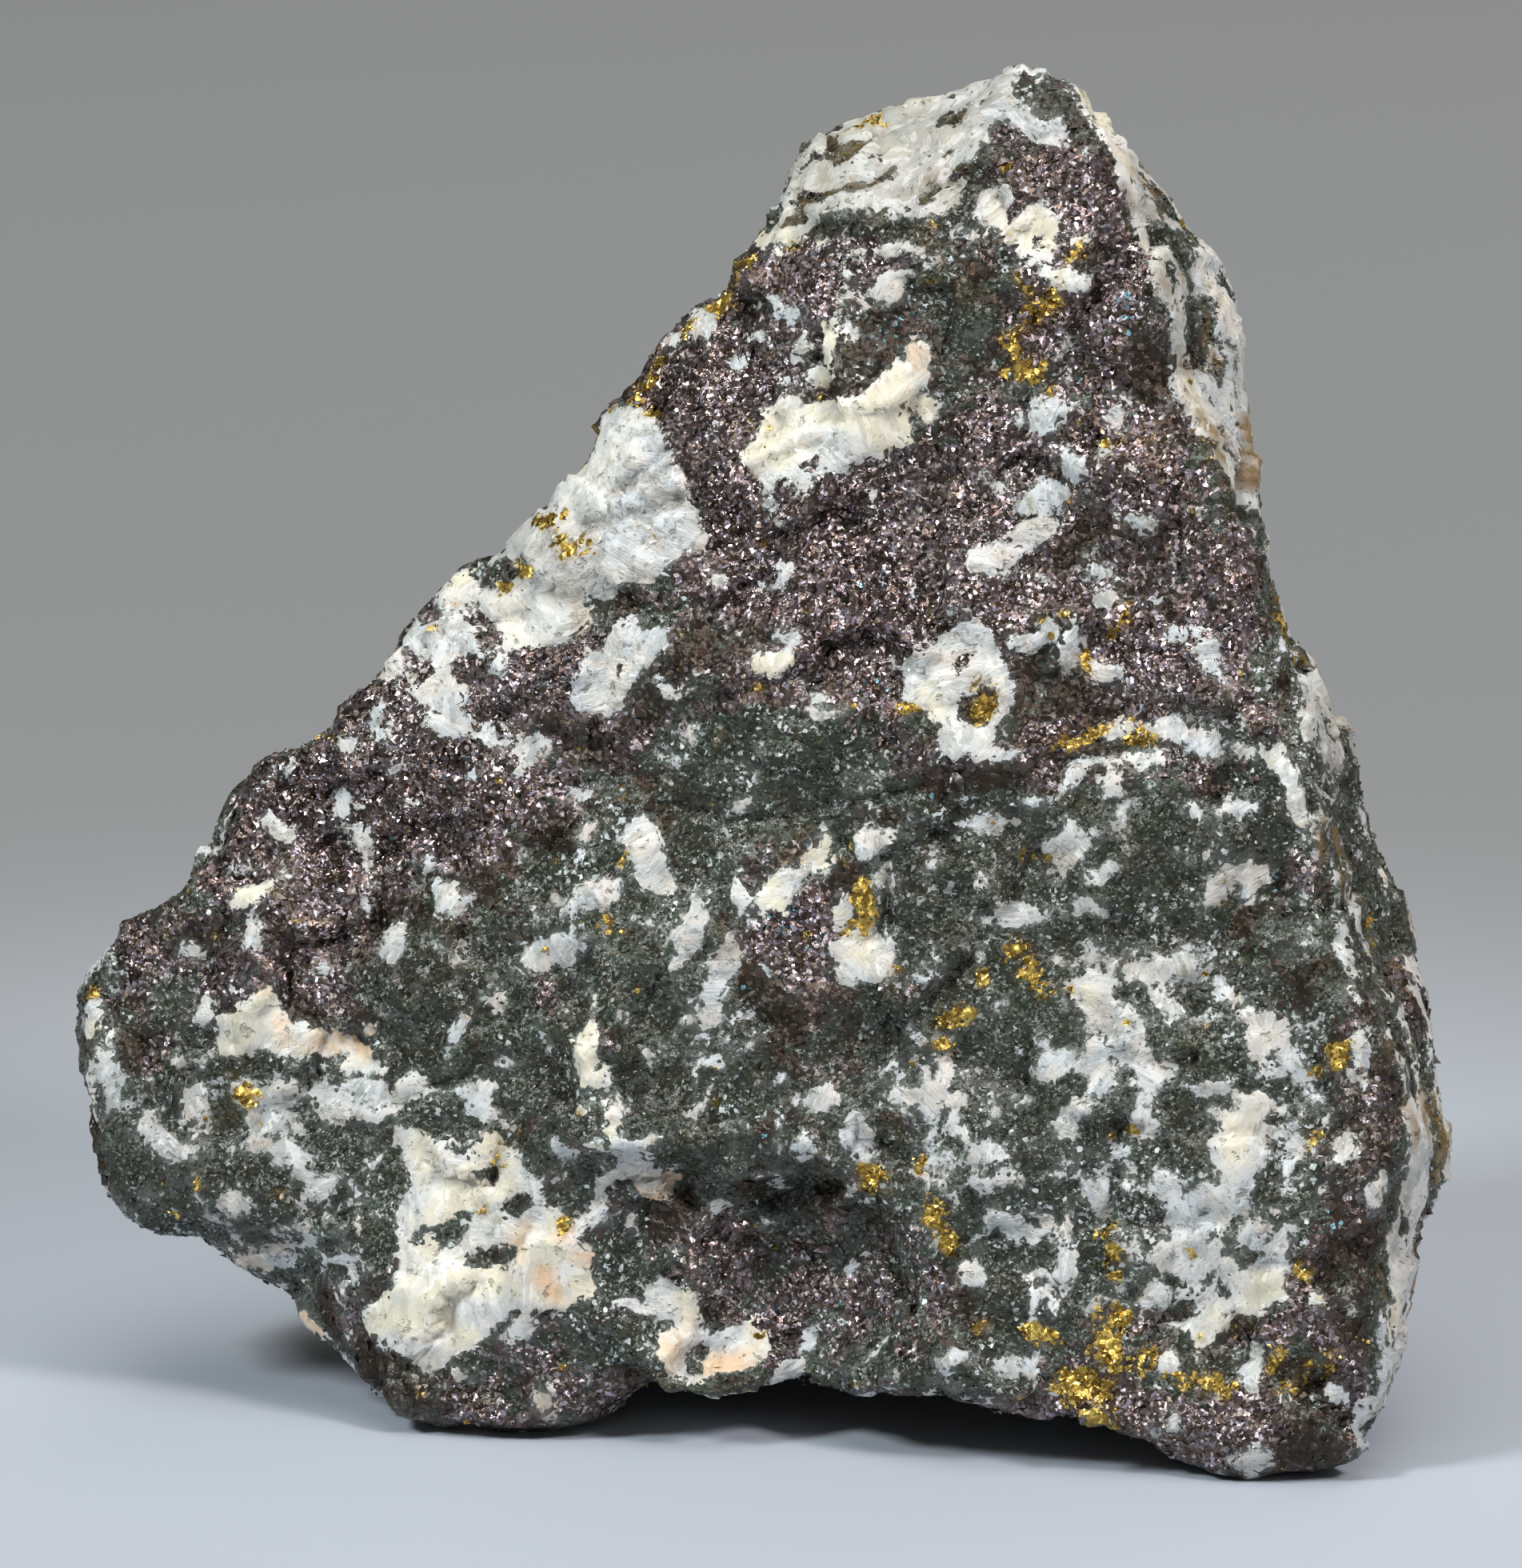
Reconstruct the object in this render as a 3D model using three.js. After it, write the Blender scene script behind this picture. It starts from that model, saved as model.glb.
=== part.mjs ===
// Peacock ore: a hand-sized, freshly broken block of bornite, chalcopyrite and dark silicate, veined with
// pale fibrous mineral. It is one stone, so it is one closed mesh, faceted as rough rock is.
//
// Units are millimetres, +Z up. The stone is drawn in its own frame (u to the right, w from the broad face
// into the stone, v up the broad face), because its fractures are easiest to place there. It then leans
// back by LEAN about the X axis, as it does when it stands on its feet, and is cut flat at the floor.
import * as THREE from "three";
import { ImprovedNoise } from "three/addons/math/ImprovedNoise.js";

// ---- Driving dimensions ------------------------------------------------------------------------------
const LEAN = THREE.MathUtils.degToRad(15); // the broad face's lean when the stone stands
const ORIGIN = new THREE.Vector3(0.4, 28.3, 0); // the middle of the footprint, which becomes the origin
const CELL = 2.62; // size of the mesh's facets
const REACH = { low: [-60, -6, -3], high: [60, 58, 112] }; // a box round the standing stone
const EVENING_PASSES = 5; // rounds of spreading the mesh's corners evenly
const FLOOR_SNAP = 0.2; // corners this close to the floor lie on it

// ---- The outline of the broad face, (u, v), clockwise from the summit ------------------------------------
const OUTLINE = [
  // down the right side
  [21.8, 111.4], [24.6, 110.8], [26.4, 108.2], [27.6, 105.4], [30.8, 102.2], [32.6, 100.3], [33.4, 98.4],
  [35.3, 96.8], [37.0, 93.4], [37.8, 89.4], [38.0, 84.5], [38.4, 81.4], [38.1, 77.8], [39.3, 73.6],
  [40.2, 69.6], [41.6, 66.2], [44.2, 63.4], [45.1, 60.9], [46.4, 59.0], [47.5, 53.2], [47.9, 50.0],
  [50.2, 47.0], [51.8, 42.2], [52.2, 38.0], [53.0, 34.6], [53.5, 29.2], [54.3, 26.4], [53.2, 23.2],
  [51.6, 18.6], [50.7, 13.6], [49.2, 8.6], [47.9, 4.8],
  // along the bottom, foot to foot under the arch
  [45.4, 2.0], [41.0, 0.6], [38.0, 0.2], [34.0, 1.6], [30.0, 3.8], [27.0, 4.8], [22.3, 4.2], [19.6, 5.4],
  [12.5, 6.6], [8.2, 7.2], [5.3, 8.2], [0.0, 7.2], [-7.0, 6.9], [-12.0, 4.9], [-17.0, 3.8], [-22.0, 4.7],
  [-26.6, 4.6], [-30.2, 8.6], [-33.5, 11.2], [-35.4, 13.2], [-35.2, 15.2], [-40.2, 16.7], [-43.2, 19.7],
  [-47.6, 19.9], [-50.6, 22.2],
  // up the left side to the tip, then along the long left flank to the summit
  [-51.4, 25.6], [-52.7, 31.6], [-53.4, 36.6], [-54.3, 38.2], [-52.0, 41.2], [-50.0, 44.5], [-46.4, 45.9],
  [-44.8, 47.4], [-43.0, 50.4], [-41.0, 54.5], [-39.3, 57.0], [-35.8, 58.0], [-34.0, 59.7], [-32.2, 60.8],
  [-31.2, 63.2], [-28.9, 64.5], [-27.2, 67.6], [-22.3, 72.8], [-19.2, 73.6], [-18.0, 75.1], [-15.6, 77.0],
  [-13.2, 81.6], [-11.4, 84.8], [-7.8, 89.5], [-4.9, 92.3], [-1.9, 95.1], [1.0, 98.6], [2.6, 102.6],
  [6.0, 106.9], [7.6, 107.9], [12.0, 108.4], [16.2, 110.0], [19.4, 110.6],
];
const OUTLINE_INSET = -0.2; // how far the walls lie inside the outline before they are roughened
const RIM_DEPTH = 15; // w where the stone is widest, right of RIM_TURN
const RIM_TURN = -8; // u left of which the rim runs back with the broad face
const RIM_SLANT = 0.3; // how fast it does
const WALL_DRAFT = 0.14; // how fast the walls draw in behind the rim
const DRAFT_FADE = 26; // the walls lose their draft below this height, so that the feet reach the floor

// The long ridge where the broad face turns into the right side, (v, u) from the summit down. The side runs
// back from it and out to SIDE_FLARE beyond it at the rim, where the outline takes over.
const SIDE_FLARE = 9;
const RIDGE = [
  [112, 24.0], [105, 26.4], [97, 29.6], [91, 32.0], [86, 32.0], [80, 35.4], [74.3, 38.2], [67.8, 40.2],
  [62.6, 42.0], [56.4, 43.1], [49.7, 43.5], [44, 44.6], [40, 47.2], [33, 49.6], [27, 50.6], [22, 49.6],
  [17, 48.4], [8, 47.6], [3, 45],
];

// ---- The flat fractures that bound the stone: a point on each (u, w, v), the way it faces, and the --------
// distance from that point at which it starts to curl away, so that a small break stays small
const FRACTURES = {
  broadFace: { at: [38, 1.0, 30], facing: [-0.15, -1, 0], reach: 999 },
  broadFaceLeft: { at: [-8, 8.2, 30], facing: [-0.3, -1, 0.03], reach: 999 },
  summitBevel: { at: [9, 5.5, 99.4], facing: [-0.3, -0.62, 0.72], reach: 18 },
  summitShoulder: { at: [21.5, 3.6, 105.4], facing: [-0.1, -0.5, 0.86], reach: 10 },
  flankBevel: { at: [-6.4, 8.0, 80.5], facing: [-0.6, -0.72, 0.36], reach: 24 },
  leftTipBevel: { at: [-50.8, 21.2, 29], facing: [-0.78, -0.6, -0.12], reach: 12 },
  leftTipUnder: { at: [-45, 20, 20.6], facing: [-0.2, -0.7, -0.68], reach: 9 },
  rightFootToe: { at: [40, 1.4, 3.4], facing: [0.1, -0.95, -0.24], reach: 10 },
  leftFootToe: { at: [-20, 12.4, 8], facing: [-0.14, -0.94, -0.3], reach: 10 },
  backRightUpper: { at: [37, 17, 80], facing: [0.84, 0.52, 0.12], reach: 20 },
  backRightLower: { at: [53, 22, 30], facing: [0.74, 0.66, 0.06], reach: 30 },
  backSummit: { at: [20, 21, 104], facing: [-0.12, 0.8, 0.6], reach: 20 },
  backUpper: { at: [14, 30, 80], facing: [0.2, 0.9, 0.38], reach: 40 },
  backFace: { at: [10, 42.5, 34], facing: [0.05, 1, 0.16], reach: 999 },
  backFlank: { at: [-16, 28, 74], facing: [-0.62, 0.56, 0.56], reach: 26 },
  backLeft: { at: [-40, 37.5, 38], facing: [-0.52, 0.82, 0.2], reach: 40 },
  backHeel: { at: [6, 46, 3], facing: [-0.06, 0.94, -0.3], reach: 40 },
};
const CURL = 0.7; // how fast a fracture curls away beyond its reach
const EDGE_SOFTNESS = 0.9; // rounding where two fractures meet

// ---- Conchoidal hollows: ellipsoids taken out of the stone, centre and half sizes (u, w, v) --------------
const HOLLOWS = {
  scoop: { at: [-0.8, 1.4, 15.6], half: [14.2, 12.2, 10.4] },
  scoopCorner: { at: [-7.6, 5.0, 20.4], half: [6.8, 8.2, 5.6] },
  veinCleft: { at: [-9.8, 8.2, 76.6], half: [5.6, 3.0, 1.9] },
  rightDish: { at: [33, -4.6, 44], half: [16, 6.6, 13] },
  backDish: { at: [-12, 49, 52], half: [26, 12, 22] },
  backChip: { at: [36, 44, 60], half: [15, 12, 15] },
};

// ---- Knobs that stand out of the surface -----------------------------------------------------------------
const KNOBS = {
  paleShelf: { at: [-11.8, 9.4, 31], half: [2.8, 2.8, 6.4] },
  scoopBrow: { at: [-9.2, 8.8, 27.2], half: [4.4, 3.2, 2.2] },
};
const KNOB_SOFTNESS = 1.6;

// ---- The underside: a rough roof over the floor, let down at the feet. Places are (x, y) on the floor -----
const UNDERSIDE_HEIGHT = 4.4;
const FEET = {
  rightFront: { at: [39, 5], reach: [9, 9], drop: 7 },
  leftFront: { at: [-20, 20], reach: [10, 8.5], drop: 7 },
  heel: { at: [-4, 41], reach: [8, 8], drop: 6.4 },
  rightHeel: { at: [32, 38], reach: [8, 8], drop: 6.4 },
};

// ---- Roughness: lumps from smooth noise, and scallops, which are small shell-shaped breaks ----------------
const LUMPS = [
  { size: 19, tall: 0.7 },
  { size: 8, tall: 0.35 },
];
const SCALLOPS = [
  { size: 13, depth: 0.6, slope: 0.1 },
  { size: 6, depth: 0.35, slope: 0.12 },
];
const RIM_BAND = 4; // within this distance of the outline the roughness is held back, to RIM_SHARE of it
const RIM_SHARE = 0.35;

const noise = new ImprovedNoise();

/** A repeatable number from 0 to 1 for the whole numbers i, j, k and a channel. */
function hash(i, j, k, channel) {
  const wave = Math.sin(i * 127.1 + j * 311.7 + k * 74.7 + channel * 53.3) * 43758.5453;
  return wave - Math.floor(wave);
}

/** The larger of a and b, rounded over by r where they are nearly equal. */
function softMax(a, b, r) {
  const near = Math.max(r - Math.abs(a - b), 0) / r;
  return Math.max(a, b) + near * near * r * 0.25;
}

/** Signed distance of (u, v) from the outline: negative inside. */
function outlineDistance(u, v) {
  let nearest = Infinity;
  let inside = false;
  for (let i = 0, j = OUTLINE.length - 1; i < OUTLINE.length; j = i++) {
    const [au, av] = OUTLINE[i];
    const [bu, bv] = OUTLINE[j];
    const du = bu - au;
    const dv = bv - av;
    const t = THREE.MathUtils.clamp(((u - au) * du + (v - av) * dv) / (du * du + dv * dv), 0, 1);
    nearest = Math.min(nearest, Math.hypot(u - au - du * t, v - av - dv * t));
    if (av > v !== bv > v && u < (du * (v - av)) / dv + au) inside = !inside;
  }
  return inside ? -nearest : nearest;
}

/** u of the ridge at height v. */
function ridgeAt(v) {
  const below = Math.max(RIDGE.findIndex(([height]) => height <= v), 1);
  const [v1, u1] = RIDGE[below];
  const [v0, u0] = RIDGE[below - 1];
  return u1 + ((v - v1) / (v0 - v1)) * (u0 - u1);
}

/** How far p lies outside the right side. */
function rightSideDistance(p) {
  const faceDepth = FRACTURES.broadFace.at[1];
  const sideDepth = RIM_DEPTH - faceDepth;
  const flare = (SIDE_FLARE * (p.y - faceDepth)) / sideDepth;
  return ((p.x - ridgeAt(p.z) - flare) * sideDepth) / Math.hypot(sideDepth, SIDE_FLARE);
}

/** About how far p lies outside an ellipsoid; negative inside it. */
function ellipsoidDistance(p, { at, half }) {
  const scaled = Math.hypot((p.x - at[0]) / half[0], (p.y - at[1]) / half[1], (p.z - at[2]) / half[2]);
  return (scaled - 1) * Math.min(...half);
}

/** Scallops: each cell of a jittered grid is a shallow hollow of random tilt, with a sharp rim to the next. */
function scallopHeight(p, { size, depth, slope }) {
  const x = p.x / size;
  const y = p.y / size;
  const z = p.z / size;
  let height = -Infinity;
  for (let i = Math.floor(x) - 1; i <= Math.floor(x) + 1; i++) {
    for (let j = Math.floor(y) - 1; j <= Math.floor(y) + 1; j++) {
      for (let k = Math.floor(z) - 1; k <= Math.floor(z) + 1; k++) {
        const dx = x - i - hash(i, j, k, 1);
        const dy = y - j - hash(i, j, k, 2);
        const dz = z - k - hash(i, j, k, 3);
        const tilt = [hash(i, j, k, 4) - 0.5, hash(i, j, k, 5) - 0.5, hash(i, j, k, 6) - 0.5];
        const bowl = 4 * depth * (0.25 - dx * dx - dy * dy - dz * dz);
        height = Math.max(height, bowl + slope * size * (dx * tilt[0] + dy * tilt[1] + dz * tilt[2]));
      }
    }
  }
  return height;
}

/** Height of the roughness at p, up and down from the smooth form. */
function roughness(p) {
  let height = 0;
  for (const { size, tall } of LUMPS) {
    height += tall * noise.noise(p.x / size + 31.4, p.y / size + 8.2, p.z / size + 17.9);
  }
  for (const scallops of SCALLOPS) height += scallopHeight(p, scallops);
  return height;
}

/** A standing point in the stone's own frame. */
function lieBack(p) {
  return p.clone().applyAxisAngle(new THREE.Vector3(1, 0, 0), LEAN);
}

/** Height of the underside above the floor at (x, y): a roof with its feet let down. */
function undersideHeight(x, y) {
  let height = UNDERSIDE_HEIGHT;
  for (const { at, reach, drop } of Object.values(FEET)) {
    const away = Math.hypot((x - at[0]) / reach[0], (y - at[1]) / reach[1]);
    height -= drop * Math.exp(-(away ** 4));
  }
  return height;
}

const fractures = Object.values(FRACTURES).map(({ at, facing, reach }) => ({
  at: new THREE.Vector3(...at),
  normal: new THREE.Vector3(...facing).normalize(),
  reach,
}));

/** How far p lies past a fracture. */
function fractureDistance(p, { at, normal, reach }) {
  return normal.dot(p) - normal.dot(at) - CURL * Math.max(p.distanceTo(at) - reach, 0);
}

/** How far a standing point lies outside the stone; negative inside. */
function outside(standing) {
  const p = lieBack(standing);
  const behindRim = Math.max(p.y - RIM_DEPTH - RIM_SLANT * Math.max(RIM_TURN - p.x, 0), 0);
  const draft = WALL_DRAFT * behindRim * THREE.MathUtils.clamp(p.z / DRAFT_FADE, 0, 1);
  const rim = outlineDistance(p.x, p.z);
  let d = rim - OUTLINE_INSET + draft;
  d = softMax(d, rightSideDistance(p), EDGE_SOFTNESS);
  for (const fracture of fractures) d = softMax(d, fractureDistance(p, fracture), EDGE_SOFTNESS);
  for (const knob of Object.values(KNOBS)) d = -softMax(-d, -ellipsoidDistance(p, knob), KNOB_SOFTNESS);
  for (const hollow of Object.values(HOLLOWS)) d = softMax(d, -ellipsoidDistance(p, hollow), EDGE_SOFTNESS);
  d = softMax(d, undersideHeight(standing.x, standing.y) - standing.z, EDGE_SOFTNESS);
  const rough = roughness(p) * THREE.MathUtils.mapLinear(Math.min(-rim / RIM_BAND, 1), 0, 1, RIM_SHARE, 1);
  return Math.max(d + rough, -standing.z);
}

/** Moves a corner onto the surface, down the slope of outside(). */
function settle(corner) {
  const step = 0.15;
  const slope = new THREE.Vector3();
  const probe = new THREE.Vector3();
  for (let round = 0; round < 2; round++) {
    const here = outside(corner);
    for (const axis of ["x", "y", "z"]) {
      probe.copy(corner)[axis] += step;
      slope[axis] = (outside(probe) - here) / step;
    }
    const move = THREE.MathUtils.clamp(here / Math.max(slope.length(), 0.5), -CELL / 2, CELL / 2);
    corner.addScaledVector(slope.normalize(), -move);
  }
}

/** Fills one corner of each grid face whose diagonals disagree, where the surface would pinch itself. */
function fillPinches(depth, strides) {
  const isIn = (i) => depth[i] < 0;
  for (let i = 0; i + strides[1] + strides[2] < depth.length; i++) {
    for (let axis = 0; axis < 3; axis++) {
      const right = i + strides[axis];
      const up = i + strides[(axis + 1) % 3];
      const far = right + up - i;
      const pinched = isIn(i) === isIn(far) && isIn(right) === isIn(up) && isIn(i) !== isIn(right);
      if (pinched) depth[isIn(i) ? right : i] = -FLOOR_SNAP;
    }
  }
}

/** The net of quads that wraps the solid on a cubic grid: corners, and loops of four corner numbers. */
function wrapSolid() {
  const low = new THREE.Vector3(...REACH.low);
  const count = new THREE.Vector3(...REACH.high).sub(low).divideScalar(CELL).ceil();
  const strides = [1, count.x, count.x * count.y];
  const node = (i) => new THREE.Vector3(
    i % count.x,
    Math.floor(i / count.x) % count.y,
    Math.floor(i / strides[2]),
  ).multiplyScalar(CELL).add(low);
  const depth = new Float32Array(count.x * count.y * count.z);
  for (let i = 0; i < depth.length; i++) depth[i] = outside(node(i));
  fillPinches(depth, strides);

  // Each cell that the surface crosses has one corner, at the mean of the crossings on its edges
  const cornerOf = new Map();
  const corners = [];
  const crossings = new Map();
  const quads = [];
  for (let i = 0; i < depth.length; i++) {
    for (let axis = 0; axis < 3; axis++) {
      const j = i + strides[axis];
      if (j >= depth.length || depth[i] < 0 === depth[j] < 0) continue;
      const crossing = node(i).lerp(node(j), depth[i] / (depth[i] - depth[j]));
      const [side, other] = [strides[(axis + 1) % 3], strides[(axis + 2) % 3]];
      const cells = [i, i - side, i - side - other, i - other];
      for (const cell of cells) {
        if (!crossings.has(cell)) crossings.set(cell, []);
        crossings.get(cell).push(crossing);
      }
      quads.push(depth[i] < 0 ? cells : cells.reverse());
    }
  }
  for (const [cell, points] of crossings) {
    cornerOf.set(cell, corners.length);
    const middle = new THREE.Vector3();
    for (const point of points) middle.add(point);
    corners.push(middle.divideScalar(points.length));
  }
  return { corners, quads: quads.map((cells) => cells.map((cell) => cornerOf.get(cell))) };
}

/** Spreads the corners evenly over the surface, so that the facets have like sizes. */
function evenOut(corners, quads) {
  const neighbours = corners.map(() => new Set());
  for (const quad of quads) {
    quad.forEach((corner, side) => {
      neighbours[corner].add(quad[(side + 1) % 4]);
      neighbours[corner].add(quad[(side + 3) % 4]);
    });
  }
  for (let pass = 0; pass < EVENING_PASSES; pass++) {
    const middles = neighbours.map((around) => {
      const middle = new THREE.Vector3();
      for (const corner of around) middle.add(corners[corner]);
      return middle.divideScalar(around.size);
    });
    corners.forEach((corner, i) => {
      corner.lerp(middles[i], 0.5);
      settle(corner);
    });
  }
}

/** The stone's closed mesh, each quad split along its shorter diagonal. */
function stoneGeometry() {
  const { corners, quads } = wrapSolid();
  evenOut(corners, quads);
  const index = quads.flatMap(([a, b, c, d]) => {
    const split = corners[a].distanceTo(corners[c]) < corners[b].distanceTo(corners[d]);
    return split ? [a, b, c, a, c, d] : [a, b, d, b, c, d];
  });
  const positions = corners.flatMap((corner) => {
    const p = corner.clone().sub(ORIGIN);
    return [p.x, p.y, p.z < FLOOR_SNAP ? 0 : p.z];
  });
  return new THREE.BufferGeometry()
    .setAttribute("position", new THREE.Float32BufferAttribute(positions, 3))
    .setIndex(index);
}

const oreMaterial = new THREE.MeshStandardMaterial({ color: 0x57504e, roughness: 0.55, metalness: 0.2 });
const geometry = stoneGeometry();
geometry.computeVertexNormals();
const stone = new THREE.Mesh(geometry, oreMaterial);
stone.name = "ore_stone";

const specimen = new THREE.Group();
specimen.add(stone);

export default specimen;
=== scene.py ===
"""The looks of a block of peacock ore: glinting bornite and chalcopyrite in green-black and pale rock."""

import itertools
import math

import bpy
import numpy as np
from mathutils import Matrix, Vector

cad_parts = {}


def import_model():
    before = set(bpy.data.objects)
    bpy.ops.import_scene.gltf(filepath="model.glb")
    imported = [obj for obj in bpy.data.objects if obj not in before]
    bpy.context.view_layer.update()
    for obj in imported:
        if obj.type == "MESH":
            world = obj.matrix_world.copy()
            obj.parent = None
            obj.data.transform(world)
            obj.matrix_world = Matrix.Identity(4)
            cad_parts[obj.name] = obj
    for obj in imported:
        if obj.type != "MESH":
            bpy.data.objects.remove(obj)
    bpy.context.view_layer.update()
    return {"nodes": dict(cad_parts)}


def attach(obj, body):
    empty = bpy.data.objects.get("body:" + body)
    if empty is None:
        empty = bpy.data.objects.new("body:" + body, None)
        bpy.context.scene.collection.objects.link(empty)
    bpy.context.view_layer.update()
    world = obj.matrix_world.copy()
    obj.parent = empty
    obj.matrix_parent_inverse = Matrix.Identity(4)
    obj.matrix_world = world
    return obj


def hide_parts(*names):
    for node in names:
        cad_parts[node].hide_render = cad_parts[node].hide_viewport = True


MM = 0.001
TINY = 1e-9

# The broad face is read as it is looked at, leaning back: u runs right and v runs up, in mm
LEAN = math.radians(15)
U_ZERO_X = -0.4
V_ZERO_Y = -28.3

# ---- Relief, in mm. The height of chips, crumbs, grit and blocks is a share of their size --------------
SKIN_CELL = 0.6
# The skin is evened in passes that pull it in and push it out again by turns
EVENING_PASSES = 14
EVENING_SHARES = (0.6, -0.56)
HOLLOW_PASSES = 6
# The feet are flat up to FOOT_HEIGHT and the relief grows up to FOOT_FADE. The rest stays clear of the floor
FOOT_HEIGHT = 0.35
FOOT_FADE = 2.5
SKIN_CLEARANCE = 0.05
CHIPS = {"size": 6.5, "height": 0.24}
CRUMBS = {"size": 2.3, "height": 0.187}
GRIT = {"size": 1.15, "height": 0.17}
BLOCKS = {"size": 2.8, "height": 0.11}
LATHS = {"size": (1.3, 1.3, 5.5), "height": 0.22}
PALE_STEP = 0.22
CLEFT_DEPTH = 0.7
# How much painted shade the clefts get, added to how hollow the skin is there, not in mm
CLEFT_SHADE = 0.3
LATH_BEND = 0.35
BEND_SIZE = 9

# ---- Pale rock on the broad face: the large patches as outlines (u, v) ---------------------------------
PALE_OUTLINES = {
    "summit bevel": [
        (-3, 95), (1, 96.6), (4, 98.6), (10, 99.8), (15.5, 99.2), (16.6, 103), (19, 106), (23.6, 105.2),
        (24.4, 107), (20.6, 107.4), (19.8, 109.6), (23.6, 110.4), (22.5, 114), (8, 113), (0, 104),
    ],
    "upper patch": [
        (-0.5, 80), (0, 84.5), (2.5, 86), (5, 85), (8, 85.5), (11, 88), (13, 87), (13.5, 85), (11.5, 84.5),
        (11.8, 81.6), (9.5, 81.2), (7.5, 80.5), (6.3, 79.6), (4.6, 80.2), (4, 78), (2, 79), (1, 77.5),
    ],
    "flank": [
        (-29, 67), (-26, 71.5), (-22, 74.8), (-18, 77), (-12, 85), (-8, 83.5), (-7, 81.5), (-5.7, 79.5),
        (-5.2, 77), (-3.5, 74.5), (-6, 72.5), (-8, 71), (-11, 70.5), (-13, 67.5), (-16, 67), (-19, 66.3),
        (-22.3, 64.5), (-25, 63.2),
    ],
    "silky patch": [
        (10.5, 65), (13, 66), (17, 68), (19, 67), (20, 62), (19, 58.5), (15, 57), (14, 60), (12, 63),
    ],
    "left patch": [
        (-42, 36), (-40.5, 37), (-37.5, 39.7), (-36.6, 37), (-33.5, 35.5), (-30, 34.5), (-28.5, 32.8),
        (-32, 33.3), (-36, 34), (-42, 33.5),
    ],
    "lower left mass": [
        (-28, 28.5), (-24, 27.5), (-20, 27.6), (-17.8, 25.6), (-16.6, 23.2), (-14.6, 20.8), (-12.8, 17.8),
        (-12.2, 15.4), (-14.5, 13.8), (-18.4, 13.8), (-21, 12.4), (-23, 10), (-26, 8.4), (-28.6, 10),
        (-30.6, 13.6), (-27.6, 16.4), (-28.4, 21), (-27, 24),
    ],
    "hollow floor": [
        (-12.5, 14.5), (-9, 15), (-7.5, 16.5), (-5.5, 15), (-3.5, 12), (-1, 13), (1.5, 11), (0, 9.7),
        (-4, 8.5), (-9, 9.5), (-7, 13),
    ],
}

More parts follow.
